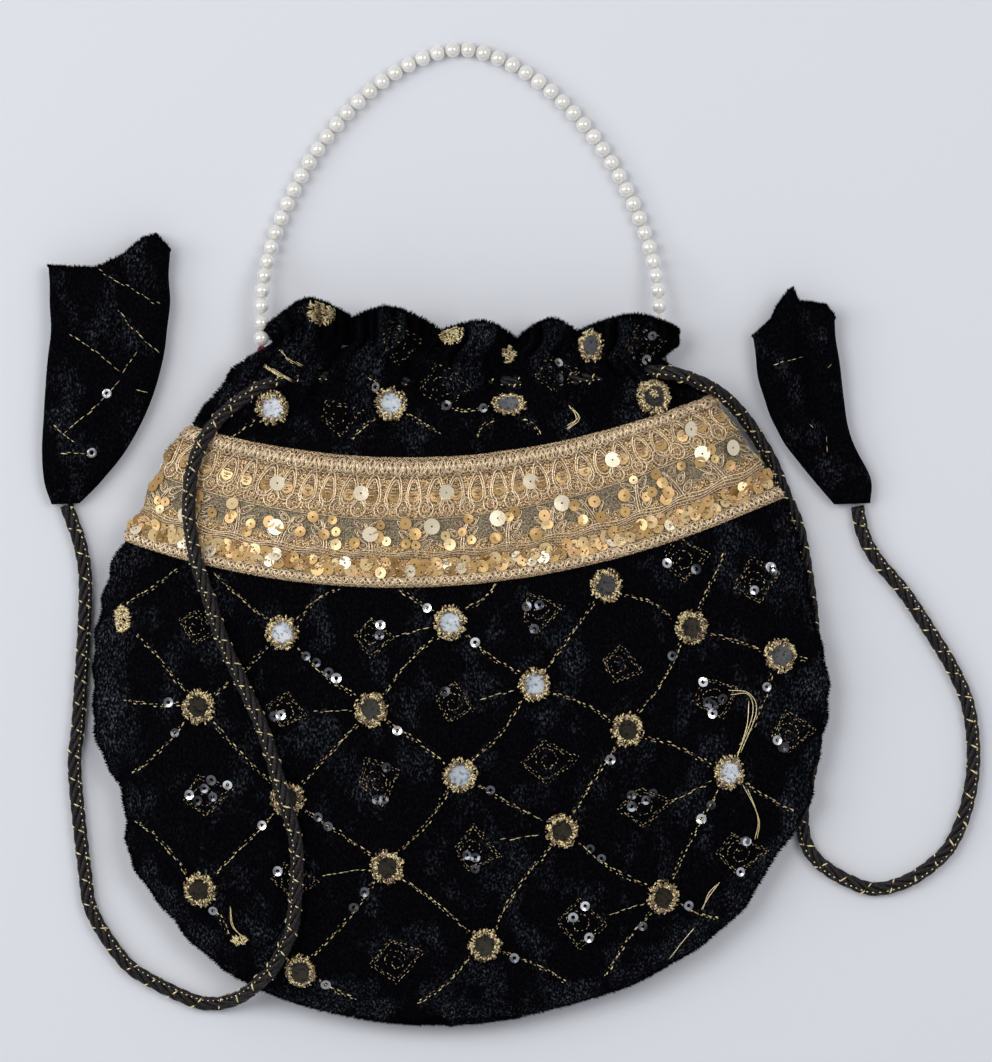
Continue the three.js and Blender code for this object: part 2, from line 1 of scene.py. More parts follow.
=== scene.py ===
"""Looks of the drawstring pouch bag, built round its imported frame, in metres."""
import math
import random

import bpy
import numpy as np
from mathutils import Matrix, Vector
from mathutils.bvhtree import BVHTree


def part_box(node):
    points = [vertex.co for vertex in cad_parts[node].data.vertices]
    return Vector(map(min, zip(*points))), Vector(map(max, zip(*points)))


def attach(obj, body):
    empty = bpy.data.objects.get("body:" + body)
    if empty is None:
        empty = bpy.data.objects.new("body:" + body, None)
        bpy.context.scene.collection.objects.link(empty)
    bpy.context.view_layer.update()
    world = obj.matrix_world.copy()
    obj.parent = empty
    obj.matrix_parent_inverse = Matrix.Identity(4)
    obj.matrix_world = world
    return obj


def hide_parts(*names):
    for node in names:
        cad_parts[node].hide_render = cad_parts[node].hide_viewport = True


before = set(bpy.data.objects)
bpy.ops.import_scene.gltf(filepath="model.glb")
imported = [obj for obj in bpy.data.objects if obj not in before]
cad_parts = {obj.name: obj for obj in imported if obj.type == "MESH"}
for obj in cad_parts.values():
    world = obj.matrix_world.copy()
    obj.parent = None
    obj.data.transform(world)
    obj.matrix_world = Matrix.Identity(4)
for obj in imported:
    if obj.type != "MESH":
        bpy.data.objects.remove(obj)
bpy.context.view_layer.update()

MM = 0.001

# Camera: straight down on the bag, with a long lens, framed as the photograph is
PIXEL = 0.32 * MM
VIEW_HEIGHT = 1062 * PIXEL
VIEW_MIDDLE = (10.9 * MM, 0.3 * MM)
CAMERA_HEIGHT = 3.0
SENSOR = 36.0

camera_data = bpy.data.cameras.new("camera")
camera_data.sensor_fit = "VERTICAL"
camera_data.sensor_height = SENSOR
camera_data.lens = SENSOR * CAMERA_HEIGHT / VIEW_HEIGHT
camera_data.clip_end = 20
camera = bpy.data.objects.new("camera", camera_data)
camera.location = (*VIEW_MIDDLE, CAMERA_HEIGHT)
bpy.context.scene.collection.objects.link(camera)
bpy.context.scene.camera = camera

# Routes of the drawstring's two free ends and of the run hidden in the channel, in millimetres
LEFT_ROUTE = [
    (-46, 49.5, 14), (-53, 48.8, 14.8), (-59, 47.6, 17.6), (-64, 45.8, 20.3), (-68, 43.4, 20.3),
    (-72, 40.6, 19.7), (-75.5, 37.8, 19.1), (-79, 33.8, 19.6), (-82, 29.4, 20.2), (-84.4, 24, 19.7),
    (-86, 18, 19.8), (-86.6, 11, 20.3), (-86.6, 4, 21.3), (-84, -10, 24), (-80, -22, 24.4),
    (-75.8, -34.6, 25.9), (-70, -47, 27.2), (-64, -60.2, 28.1), (-60, -72, 28.6), (-56, -85.8, 29.8),
    (-53, -96, 27.8), (-52.2, -105, 26.4), (-53.6, -124, 22.7), (-56, -131, 20.4), (-60, -138.6, 17.5),
    (-64, -143, 14.5), (-68.4, -146.8, 9.9), (-73, -149.4, 5.2), (-79, -150.8, 2.5), (-86, -149.8, 2.2),
    (-99.5, -143.4, 2.2), (-108.2, -137, 2.2), (-118, -122, 2.2), (-120.6, -108.2, 2.2),
    (-123.8, -76.2, 2.2), (-122.6, -60.2, 2.2), (-120.4, -22, 2.2), (-121.6, -6, 2.2), (-126.4, 8.4, 2.2),
]
RIGHT_ROUTE = [
    (50, 50, 14.2), (56.5, 50.6, 14.8), (61.5, 51, 17.1), (66, 50.6, 18.9), (70.4, 49.6, 18.4),
    (74.8, 48, 16.9), (78.8, 46.2, 14.6), (82.6, 43.8, 11.2), (86.4, 40.6, 7.2), (90.2, 36.4, 4.2),
    (94.6, 30.1, 2.6), (99.4, 21.6, 2.2), (103.6, 11, 2.2), (107.4, 1.6, 2.2), (110, -12.2, 2.2),
    (112, -28, 2.2), (113, -48, 2.2), (113, -66, 2.2), (110.6, -80, 2.2), (108.8, -90, 2.2),
    (110, -99.4, 2.2), (114.6, -106, 2.2), (123.2, -111.4, 2.2), (132.2, -114.2, 2.2), (142.8, -111.4, 2.2),
    (152, -105, 2.2), (157.2, -98.6, 2.2), (161.6, -87, 2.2), (163.6, -73, 2.2), (162.2, -57, 2.2),
    (157.6, -45, 2.2), (149.6, -31.6, 2.2), (141.2, -19, 2.2), (132.8, -9, 2.2), (128.4, -1, 2.2),
    (126.4, 8, 2.2),
]
CHANNEL_ROUTE = [
    (-45.4, 49.5, 14), (-22, 47.8, 14.9), (2, 47.8, 14.9), (26, 47.8, 14.9), (49.4, 50, 14.2),
]

# Drawstring: a braid of dark strands wound over a core, with a gold thread round it
CORD_RADIUS = 2.2 * MM
STRANDS = 5
STRAND_RADIUS = 0.78 * MM
STRAND_PITCH = 24 * MM
STRAND_STEP = 1.1 * MM
STRAND_OVERLAP = 1.12
GOLD_WIND_PITCH = 8.06 * MM
GOLD_WIND_RADIUS = 0.31 * MM
GOLD_RUN_PITCH = 11.43

# Outline and thickness of the pouch, as in the frame
BELLY_HALF_WIDTH = 117 * MM
NECK_HALF_WIDTH = 66.5 * MM
MOUTH_HALF_WIDTH = 65 * MM
BOWL_DEPTH = 105.5 * MM
SHOULDER_RISE = 106.2 * MM
FRILL_HEIGHT = 10.5 * MM
FRILL_TURN = 7 * MM
OUTLINE_POWER = 2.2
BOTTOM_LEAN = 8 * MM
LEAN_POWER = 1.5
MOUTH_SHIFT = 4.5 * MM
SEAM_HEIGHT = 9 * MM
BELLY_RISE = 20 * MM
NECK_RISE = 9.5 * MM
UNDER_ROLL = 35 * MM
UNDER_POWER = 1.5
UNDER_CLEARANCE = 0.35 * MM
SEAM_WAVE = 13 * MM
VELVET_WALL = 1.2 * MM
BELLY_Y = -51.35 * MM
NECK_Y = BELLY_Y + SHOULDER_RISE
MOUTH_Y = NECK_Y + FRILL_HEIGHT
CHANNEL_Y = NECK_Y - 7 * MM

# How square and how full the crown of the pouch's section is, at the belly and at the neck
BELLY_CROWN = (2.4, 0.75)
NECK_CROWN = (6, 0.5)
CROWN_CHANGE = (0.6, 0.95)
EDGE_SQUARENESS = 8

# Crushed velvet: how deep and how wide its dents are, and how far the channel draws it in
CRUSH_DEPTH = 0.45 * MM
CRUSH_SIZE = 34 * MM
FINE_CRUSH_DEPTH = 0.16 * MM
FINE_CRUSH_SIZE = 11 * MM
FINE_GATHER = 0.55
CHANNEL_PINCH = 0.12
CHANNEL_HALF = 5 * MM

# Lace band
BAND_WIDTH = 34.7 * MM
BAND_TOP_Y = NECK_Y - 16.3 * MM
BAND_LOW_Y = BAND_TOP_Y - BAND_WIDTH
BAND_DIP = 21 * MM
BAND_TILT = 6.9 * MM
BAND_SETTLE = 5
LACE_ROOM = 2.1 * MM
FADE_FAR = 18 * MM
FADE_NEAR = 4 * MM

# Gathers of the frill: across the front, how far across each dip and crest is and how far above the mouth
FRONT_GATHERS = [
    (-1.0, 0.0), (-0.82, 10.0), (-0.61, 3.5), (-0.44, 7.5), (-0.18, -0.5), (0.03, 3.0),
    (0.20, -3.5), (0.37, 3.7), (0.50, -1.0), (0.78, 5.0), (1.0, 0.0),
]
BACK_GATHERS = 7
BACK_RISE = -4.2 * MM
BACK_SCALLOP = 0.5 * MM
ROUNDNESS = 0.6
PILE_ROOM = 1.7 * MM
NECK_FOLD = 2.3 * MM
FRILL_FOLD = 3.6 * MM
BACK_FOLD = 0.42
FOLD_REACH = 38 * MM

# Pearl handle
PEARL_RADIUS = 2.5 * MM
PEARL_PITCH = 5 * MM
PEARL_SIDES = 20
PEARL_RINGS = 12
HANDLE_HEIGHT = 82.2 * MM
HANDLE_POWER = 1.7
HANDLE_SETTLE = 26 * MM
PIVOT_Y = MOUTH_Y + 6.8 * MM
LEFT_PIVOT_X = MOUTH_SHIFT - MOUTH_HALF_WIDTH - 3.5 * MM
RIGHT_PIVOT_X = MOUTH_SHIFT + MOUTH_HALF_WIDTH - 6.5 * MM
TAIL_PEARLS = 2
TAIL_GAP = 0.35 * MM

# How far the left and the right side seam are drawn in, at heights up the bag, all in millimetres
SEAM_PULLS = [
    (-157, 5.0, 6.0), (-153, 3.0, 5.0), (-145, 0.5, 0.5), (-134, 2.6, 0.0), (-121, 3.4, 0.5),
    (-111, 2.0, 2.6), (-102, 2.0, 1.5), (-89, 5.0, 1.0), (-83, 5.8, 2.6), (-75, 5.2, 1.2),
    (-66, 2.4, 0.2), (-56, 0.3, 0.4), (-44, 0.0, 1.6), (-30, 0.0, 2.8), (-18, 0.0, 2.2),
    (0, 0.0, 0.3), (34, 0.0, 0.0), (41, -1.2, 0.0), (45, -1.6, 0.0), (50, -4.6, 0.0),
    (52, -4.4, 0.0), (55, -1.0, 0.0), (58, 1.4, 0.0), (62, 1.8, 0.0), (66, 0.6, 0.0),
]

MIRROR_COUNT = 23
MIRROR_RADIUS = 3.9 * MM
RIM_RADIUS = 5.4 * MM
RAY_HEIGHT = 0.2


# Small shapes gathered into one mesh

def unit(vectors):
    """Vectors of length one"""
    length = np.linalg.norm(vectors, axis=-1, keepdims=True)
    return vectors / np.maximum(length, 1e-12)


def tube(path, radius, sides=6, up=(0, 0, 1)):
    """Points and faces of a round tube along a path, its ends closed"""
    path = np.asarray(path, float)
    along = unit(np.gradient(path, axis=0))
    up = np.broadcast_to(np.asarray(up, float), path.shape)
    side = unit(np.cross(up, along) + 1e-6)
    over = np.cross(along, side)
    angle = np.arange(sides) * math.tau / sides
    out = np.cos(angle)[:, None] * side[:, None, :] + np.sin(angle)[:, None] * over[:, None, :]
    radius = np.broadcast_to(np.asarray(radius, float), (len(path),))
    points = path[:, None, :] + radius[:, None, None] * out
    ring = list(range(sides))
    ends = [ring[::-1], [(len(path) - 1) * sides + k for k in ring]]
    return points.reshape(-1, 3), grid_faces(len(path), sides) + ends


def grid_faces(rows, columns):
    """Quads over rings of points, one ring to a row"""
    low, column = np.meshgrid(np.arange(rows - 1) * columns, np.arange(columns), indexing="ij")
    after = (column + 1) % columns
    high = low + columns
    return np.stack([low + column, low + after, high + after, high + column], axis=-1).reshape(-1, 4).tolist()


def fan(middle, first, count):
    """Triangles from a middle point to a ring of points"""
    return [[middle, first + (k + 1) % count, first + k] for k in range(count)]


def flipped(faces):
    return [face[::-1] for face in faces]


def disc(radius, thickness, sides, hole=0.0, cup=0.0):
    """A closed disc or ring: its middle is raised or sunk by cup"""
    inner = max(hole, radius * 0.02)
    profile = [(radius, 0), (radius, thickness), (inner, thickness + cup), (inner, cup)]
    angle = np.arange(sides) * math.tau / sides
    points = np.array([[(r * math.cos(a), r * math.sin(a), z) for a in angle] for r, z in profile])
    faces = grid_faces(4, sides)
    faces += [[3 * sides + k, 3 * sides + (k + 1) % sides, (k + 1) % sides, k] for k in range(sides)]
    return points.reshape(-1, 3), faces


def ball(radius):
    """A round pearl, with its poles on the Z axis"""
    tilt = np.linspace(0, math.pi, PEARL_RINGS + 1)[1:-1]
    angle = np.arange(PEARL_SIDES) * math.tau / PEARL_SIDES
    spots = [(math.sin(t) * math.cos(a), math.sin(t) * math.sin(a), math.cos(t)) for t in tilt for a in angle]
    points = np.array(spots + [(0, 0, 1), (0, 0, -1)]) * radius
    top, bottom = len(points) - 2, len(points) - 1
    faces = grid_faces(len(tilt), PEARL_SIDES) + fan(top, 0, PEARL_SIDES)
    return points, flipped(faces) + fan(bottom, (len(tilt) - 1) * PEARL_SIDES, PEARL_SIDES)


def facing(normal, turn=0.0):
    """A turn that takes +Z to the normal, as three columns"""
    normal = unit(np.asarray(normal, float))
    across = np.array([1.0, 0, 0]) if abs(normal[0]) < 0.9 else np.array([0, 1.0, 0])
    side = unit(np.cross(normal, across))
    over = np.cross(normal, side)
    c, s = math.cos(turn), math.sin(turn)
    return np.stack([c * side + s * over, -s * side + c * over, normal], axis=1)


class Shapes:
    """Many small shapes made into one mesh, each with a tone from 0 to 1 that its material reads"""

    def __init__(self):
        self.points = []
        self.faces = []
        self.tones = []
        self.total = 0

    def add(self, shape, tone=0.5):
        points, faces = shape
        self.points.append(points)
        self.faces.extend([[corner + self.total for corner in face] for face in faces])
        self.tones.append(np.full(len(points), tone))
        self.total += len(points)

    def stamp(self, shape, place, normal=(0, 0, 1), turn=0.0, tone=0.5):
        points, faces = shape
        self.add((points @ facing(normal, turn).T + np.asarray(place), faces), tone)

    def made(self, name, material, slot, *nodes, body="pouch", smooth=True):
        piece = mesh_object(name, np.concatenate(self.points), self.faces, material, smooth)
        set_tone(piece, np.concatenate(self.tones))
        return placed(piece, slot, *nodes, body=body)


def mesh_object(name, points, faces, material, smooth=True):
    mesh = bpy.data.meshes.new(name)
    mesh.from_pydata(np.asarray(points).tolist(), [], faces)
    mesh.polygons.foreach_set("use_smooth", [smooth] * len(mesh.polygons))
    mesh.update()
    mesh.materials.append(material)
    piece = bpy.data.objects.new(name, mesh)
    bpy.context.scene.collection.objects.link(piece)
    return piece


def placed(piece, slot, *nodes, body="pouch"):
    """Ties a piece to its body and hides the frame's nodes that it stands in for; its slot is not used"""
    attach(piece, body)
    if nodes:
        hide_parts(*nodes)
    return piece


def set_tone(piece, tones):
    attribute = piece.data.attributes.new("tone", "FLOAT", "POINT")
    attribute.data.foreach_set("value", np.asarray(tones).astype(np.float32))


# Materials

class Finish:
    """A material whose nodes are added by short calls"""

    def __init__(self, name, color, roughness, metallic=0.0, **sockets):
        self.material = bpy.data.materials.new(name)
        self.material.use_nodes = True
        self.nodes = self.material.node_tree.nodes
        self.links = self.material.node_tree.links
        self.shader = self.nodes["Principled BSDF"]
        self.shader.inputs["Base Color"].default_value = (*color, 1)
        self.shader.inputs["Roughness"].default_value = roughness
        self.shader.inputs["Metallic"].default_value = metallic
        for socket, value in sockets.items():
            self.shader.inputs[socket.replace("_", " ")].default_value = value

    def node(self, kind, **values):
        made = self.nodes.new("ShaderNode" + kind)
        for name, value in values.items():
            if name in made.inputs:
                made.inputs[name].default_value = value
            else:
                setattr(made, name, value)
        return made

    def noise(self, size, detail, stretch=(1, 1, 1)):
        """Noise whose grains are about this size, in metres"""
        place = self.node("TexCoord")
        mapping = self.node("Mapping", Scale=tuple(1 / (size * s) for s in stretch))
        noise = self.node("TexNoise", Scale=1.0, Detail=detail)
        self.links.new(place.outputs["Object"], mapping.inputs["Vector"])
        self.links.new(mapping.outputs["Vector"], noise.inputs["Vector"])
        return noise.outputs["Fac"]

    def tone(self):
        return self.node("Attribute", attribute_name="tone").outputs["Fac"]

    def ramp(self, source, stops):
        """Colours at shares of a source between 0 and 1"""
        ramp = self.node("ValToRGB")
        colors = ramp.color_ramp.elements
        while len(colors) < len(stops):
            colors.new(0.5)
        for element, (place, color) in zip(colors, stops):
            element.position = place
            element.color = (*color, 1)
        self.links.new(source, ramp.inputs["Fac"])
        return ramp.outputs["Color"]

    def mix(self, share, low, high, blend="MIX"):
        mix = self.node("MixRGB", blend_type=blend)
        for socket, value in zip(("Fac", "Color1", "Color2"), (share, low, high)):
            if isinstance(value, bpy.types.NodeSocket):
                self.links.new(value, mix.inputs[socket])
            else:
                mix.inputs[socket].default_value = value if socket == "Fac" else (*value, 1)
        return mix.outputs["Color"]

    def color(self, source):
        self.links.new(source, self.shader.inputs["Base Color"])

    def bump(self, source, depth, strength):
        bump = self.node("Bump", Strength=strength, Distance=depth)
        self.links.new(source, bump.inputs["Height"])
        self.links.new(bump.outputs["Normal"], self.shader.inputs["Normal"])


def velvet_finish():
    """Black pile with crushed patches of fine grey specks, more of them where its tone is high: the crush
    pattern is the velvet's own, the specks are painted sheen for the light the pile catches
    """
    finish = Finish("velvet", (0.002, 0.002, 0.003), 0.85, Specular_IOR_Level=0.02,
                    Sheen_Weight=0.025, Sheen_Roughness=0.3, Sheen_Tint=(0.55, 0.62, 0.82, 1))
    patches = finish.noise(10 * MM, 3.0, (1, 1.5, 1))
    specks = finish.noise(0.62 * MM, 3.0, (1, 1.7, 1))
    # Share of painted sheen specks: the crushed patches, lifted where the tone paints sheen on crests and at
    # the outline
    painted_sheen_share = finish.node("Math", operation="MULTIPLY_ADD")
    painted_sheen_share.inputs[1].default_value = 0.2
    finish.links.new(finish.tone(), painted_sheen_share.inputs[0])
    finish.links.new(patches, painted_sheen_share.inputs[2])
    where = finish.ramp(painted_sheen_share.outputs["Value"], [(0.51, (0, 0, 0)), (0.78, (1, 1, 1))])
    grey = finish.ramp(specks, [(0.44, (0.001, 0.001, 0.0015)), (0.56, (0.012, 0.013, 0.017)),
                                (0.70, (0.085, 0.092, 0.116))])
    plain = finish.ramp(specks, [(0.45, (0.0006, 0.0006, 0.001)), (0.7, (0.0035, 0.0035, 0.0055))])
    finish.color(finish.mix(where, plain, grey))
    finish.bump(specks, 0.4 * MM, 0.7)
    return finish.material


def thread_finish(name, dark, light, roughness, metallic, grain_shade):
    """Metallic thread: its tone runs from dark to light, at random from stitch to stitch, its light end
    painted glint, with dark grains of painted shade in its twists
    """
    finish = Finish(name, light, roughness, metallic, Coat_Weight=1.0, Coat_Roughness=0.25, Coat_IOR=1.7)
    grain = finish.noise(0.4 * MM, 2.0)
    # The light end of the tone is painted glint, standing in for light off the facets of real metal thread
    base = finish.ramp(finish.tone(), [(0.0, dark), (0.8, light)])
    # Dark grains: painted shade in the twists of the thread
    shade = finish.ramp(grain, [(0.40, (0.2, 0.16, 0.12)), (0.58, (1, 1, 1))])
    finish.color(finish.mix(grain_shade, base, shade, "MULTIPLY"))
    finish.bump(grain, 0.08 * MM, 0.8)
    return finish.material


def sequin_finish(name, stops, roughness, metallic):
    finish = Finish(name, stops[-1][1], roughness, metallic, Coat_Weight=0.3, Coat_Roughness=0.1)
    finish.color(finish.ramp(finish.tone(), stops))
    finish.bump(finish.noise(0.9 * MM, 1.0), 0.06 * MM, 0.5)
    return finish.material


def pearl_finish():
    finish = Finish("pearl", (0.7, 0.68, 0.63), 0.25, Specular_IOR_Level=1.0, Coat_Weight=1.0,
                    Coat_Roughness=0.12, Coat_IOR=2.3, Sheen_Weight=0.5, Sheen_Roughness=0.5)
    base = finish.ramp(finish.tone(), [(0.0, (0.74, 0.715, 0.645)), (1.0, (0.82, 0.80, 0.745))])
    cloud = finish.ramp(finish.noise(1.6 * MM, 2.0), [(0.4, (0.92, 0.89, 0.85)), (0.65, (1, 1, 1))])
    finish.color(finish.mix(0.3, base, cloud, "MULTIPLY"))
    return finish.material


def mirror_finish(name, dark, light, metallic):
    """Small old glass, spotted, and brighter where its tone is high; the tone is painted reflection, standing
    in for the bright or dark surroundings each mirror shows
    """
    finish = Finish(name, light, 0.08, metallic, Coat_Weight=0.5, Coat_Roughness=0.03)
    spots = finish.ramp(finish.noise(1.1 * MM, 3.0), [(0.34, (0.3, 0.3, 0.32)), (0.46, (1, 1, 1))])
    clouds = finish.ramp(finish.noise(2.2 * MM, 2.0), [(0.35, (0.62, 0.68, 0.72)), (0.6, (1, 1, 1))])
    # Painted reflection: dark to light by the glass's tone
    base = finish.ramp(finish.tone(), [(0.0, dark), (1.0, light)])
    base = finish.mix(0.8, base, clouds, "MULTIPLY")
    finish.color(finish.mix(0.9, base, spots, "MULTIPLY"))
    finish.bump(finish.noise(4 * MM, 1.0), 0.12 * MM, 0.3)
    return finish.material


def cord_finish():
    finish = Finish("cord_weave", (0.012, 0.009, 0.01), 0.5, Specular_IOR_Level=0.25,
                    Sheen_Weight=0.04, Sheen_Roughness=0.4)
    fibres = finish.noise(0.5 * MM, 3.0)
    finish.color(finish.ramp(fibres, [(0.42, (0.0015, 0.001, 0.001)), (0.56, (0.010, 0.007, 0.007)),
                                      (0.72, (0.065, 0.052, 0.055))]))
    finish.bump(fibres, 0.2 * MM, 0.7)
    return finish.material


def lining_finish():
    finish = Finish("lining_satin", (0.02, 0.02, 0.026), 0.42, Sheen_Weight=0.1)
    weave = finish.noise(0.4 * MM, 1.0, (6, 1, 1))
    finish.color(finish.ramp(weave, [(0.3, (0.014, 0.014, 0.018)), (0.7, (0.034, 0.034, 0.043))]))
    finish.bump(weave, 0.05 * MM, 0.6)
    return finish.material


def ground_finish():
    """Lace ground: an open net strip between strips filled with metallic stitches, by its tone across"""
    finish = Finish("lace_ground", (0.3, 0.24, 0.15), 0.5, 0.45)
    grain = finish.noise(0.42 * MM, 3.0)
    gold = finish.ramp(grain, [(0.38, (0.04, 0.022, 0.008)), (0.5, (0.32, 0.17, 0.06)),
                               (0.62, (1.0, 0.76, 0.42))])
    net = finish.ramp(grain, [(0.38, (0.04, 0.034, 0.024)), (0.62, (0.36, 0.28, 0.165))])
    strip = finish.ramp(finish.tone(), [(0.36, (0, 0, 0)), (0.42, (1, 1, 1)),
                                        (0.60, (1, 1, 1)), (0.64, (0, 0, 0))])
    finish.color(finish.mix(strip, gold, net))
    finish.bump(grain, 0.3 * MM, 0.9)
    return finish.material


VELVET = velvet_finish()
GOLD = thread_finish("gold_thread", (0.14, 0.06, 0.01), (1.0, 0.83, 0.42), 0.25, 0.3, 0.45)
LACE_CORD = thread_finish("lace_cord", (0.2, 0.09, 0.03), (1.0, 0.765, 0.46), 0.3, 0.35, 0.75)
AMBER = sequin_finish("amber_sequin", [(0.0, (0.3, 0.15, 0.035)), (0.55, (0.70, 0.44, 0.16)),
                                       (0.85, (0.86, 0.68, 0.38)), (1.0, (0.84, 0.73, 0.53))], 0.28, 0.35)
SILVER = sequin_finish("silver_sequin", [(0.0, (0.02, 0.021, 0.026)), (0.6, (0.16, 0.17, 0.2)),
                                         (1.0, (0.95, 0.96, 1.0))], 0.16, 0.8)
PEARL = pearl_finish()
# Both glasses take painted reflection from their tone; the bright one is a near-white painted reflection that
# looks the same from any view
DULL_GLASS = mirror_finish("mirror_dull", (0.07, 0.055, 0.035), (0.42, 0.42, 0.43), 0.6)
GLASS_PAINTED_BRIGHT = mirror_finish("mirror_painted_bright", (0.55, 0.6, 0.66), (0.93, 0.96, 1.0), 0.2)
CORD = cord_finish()
LINING = lining_finish()
GROUND = ground_finish()
RED = Finish("red_thread", (0.16, 0.008, 0.03), 0.5).material
CREAM_THREAD = Finish("cream_thread", (0.42, 0.38, 0.33), 0.6).material


# Drawstring

def smooth_path(points, step):
    """A smooth curve through the points, with a point at every step along it"""
    points = np.asarray(points, float)
    ends = np.concatenate([[2 * points[0] - points[1]], points, [2 * points[-1] - points[-2]]])
    share = np.linspace(0, 1, 16, endpoint=False)[:, None]
    pieces = []
    for p0, p1, p2, p3 in zip(ends, ends[1:], ends[2:], ends[3:]):
        a = 2 * p1
        b = p2 - p0
        c = 2 * p0 - 5 * p1 + 4 * p2 - p3
        d = -p0 + 3 * p1 - 3 * p2 + p3
        pieces.append(0.5 * (a + b * share + c * share**2 + d * share**3))
    curve = np.concatenate(pieces + [points[-1:]])
    return resampled(curve, step)


def resampled(curve, step):
    """The same line with points evenly spaced by about one step"""
    gaps = np.linalg.norm(np.diff(curve, axis=0), axis=1)
    length = np.concatenate([[0], np.cumsum(gaps)])
    places = np.linspace(0, length[-1], max(2, round(length[-1] / step) + 1))
    return np.stack([np.interp(places, length, curve[:, k]) for k in range(curve.shape[1])], axis=1)


def path_length(path):
    return float(np.linalg.norm(np.diff(path, axis=0), axis=1).sum())


def wound(path, turns_per_metre, phase, radius):
    """A line wound round a path at a radius"""
    along = unit(np.gradient(path, axis=0))
    side = unit(np.cross((0, 0, 1.0), along))
    over = np.cross(along, side)
    places = np.concatenate([[0], np.cumsum(np.linalg.norm(np.diff(path, axis=0), axis=1))])
    angle = phase + math.tau * turns_per_metre * places
    radius = np.broadcast_to(radius, places.shape)
    offset = np.cos(angle)[:, None] * side + np.sin(angle)[:, None] * over
    return path + radius[:, None] * offset, offset


def cord(name, route, node):
    """Core and strands of one stretch of the drawstring, and the gold threads round it"""
    path = smooth_path(np.array(route) * MM, STRAND_STEP)
    weave = Shapes()
    weave.add(tube(path, CORD_RADIUS - 1.2 * STRAND_RADIUS, 10))
    for strand in range(STRANDS):
        line, out = wound(path, 1 / STRAND_PITCH, math.tau * strand / STRANDS, CORD_RADIUS - STRAND_RADIUS)
        weave.add(tube(line, STRAND_RADIUS * STRAND_OVERLAP, 7, out))
    piece = weave.made(name, CORD, "cord", node)

    gold = Shapes()
    fine = resampled(path, 0.35 * MM)
    reach = CORD_RADIUS + 0.5 * GOLD_WIND_RADIUS
    line, out = wound(fine, -1 / GOLD_WIND_PITCH, 0.4, reach)
    draw = random.Random(len(route))
    add_dashes(gold, line, out, 3.0 * MM, 0.5 * MM, GOLD_WIND_RADIUS, draw)
    line, out = wound(fine, 1 / GOLD_RUN_PITCH, 1.9, reach)
    add_dashes(gold, line, out, 0.9 * MM, 0.9 * MM, 0.8 * GOLD_WIND_RADIUS, draw)
    return piece, gold.made(name + "_gold", GOLD, "cord"), path


def add_dashes(shapes, line, out, dash, gap, radius, draw):
    """Short stretches of thread along a line, with gaps where it dives under"""
    line = np.column_stack([line[:, :2], np.maximum(line[:, 2], radius)])
    step = float(np.linalg.norm(line[1] - line[0]))
    start = 0
    while start < len(line) - 3:
        count = max(3, round(dash * draw.uniform(0.7, 1.25) / step))
        part = line[start:start + count]
        if len(part) >= 3:
            taper = np.sin(np.linspace(0.25, math.pi - 0.25, len(part)))
            shapes.add(tube(part, radius * taper, 5, out[start:start + count]), draw.uniform(0.55, 1.0))
        start += count + max(1, round(gap * draw.uniform(0.6, 1.5) / step))


left_cord, left_gold, left_path = cord("cord_left", LEFT_ROUTE, "drawstring_left")
right_cord, right_gold, right_path = cord("cord_right", RIGHT_ROUTE, "drawstring_right")
cord("cord_in_channel", CHANNEL_ROUTE, "drawstring_in_channel")


# The pouch's surface: a level runs up the bag, an angle round it from the right seam over the front

def smooth_between(value, low, high):
    share = np.clip((value - low) / (high - low), 0, 1)
    return share * share * (3 - 2 * share)


def blended(low, high, share):
    return low + (high - low) * share


def ripples(x, y, size, seed, stretch=1.0, waves=7):
    """A smooth random field of about -1 to 1, stretched along x"""
    draw = random.Random(seed)
    total = 0
    for _ in range(waves):
        turn = draw.uniform(0, math.tau)
        scale = math.tau / (size * draw.uniform(0.7, 1.5))
        phase = draw.uniform(0, math.tau)
        total = total + np.sin(scale * (x * math.cos(turn) / stretch + y * math.sin(turn)) + phase)
    return total / math.sqrt(waves)


def shoulder_share(y):
    return np.clip((y - BELLY_Y) / SHOULDER_RISE, 0, 1)


def bowl_share(y):
    return np.clip((BELLY_Y - y) / BOWL_DEPTH, 0, 1)


def middle_at(y):
    lean = BOTTOM_LEAN * bowl_share(y) ** LEAN_POWER
    return MOUTH_SHIFT * smooth_between(y, NECK_Y, NECK_Y + FRILL_TURN) - lean


def half_width_at(y):
    bowl = BELLY_HALF_WIDTH * (1 - bowl_share(y) ** OUTLINE_POWER) ** (1 / OUTLINE_POWER)
    shoulder = blended(NECK_HALF_WIDTH, BELLY_HALF_WIDTH, 1 - shoulder_share(y) ** OUTLINE_POWER)
    frill = blended(NECK_HALF_WIDTH, MOUTH_HALF_WIDTH, smooth_between(y, NECK_Y, NECK_Y + FRILL_TURN))
    return np.where(y < BELLY_Y, bowl, np.where(y < NECK_Y, shoulder, frill))


def edge_share(x, y):
    """How far a place is from the middle, 1 at the outline"""
    across = np.abs(x - middle_at(y))
    above = across / np.maximum(half_width_at(y), 1e-9)
    wide = (across / BELLY_HALF_WIDTH) ** OUTLINE_POWER
    below = (wide + bowl_share(y) ** OUTLINE_POWER) ** (1 / OUTLINE_POWER)
    return np.minimum(1, np.where(y >= BELLY_Y, above, below))


def edge_fill(share):
    """Keeps what stands on the cloth at full height until close to the outline"""
    return np.sqrt(1 - share**EDGE_SQUARENESS)


def neckness(y):
    return smooth_between(shoulder_share(y), *CROWN_CHANGE)


def blunt(share, at_neck):
    squareness, fullness = (blended(low, high, at_neck) for low, high in zip(BELLY_CROWN, NECK_CROWN))
    return (1 - share**squareness) ** fullness


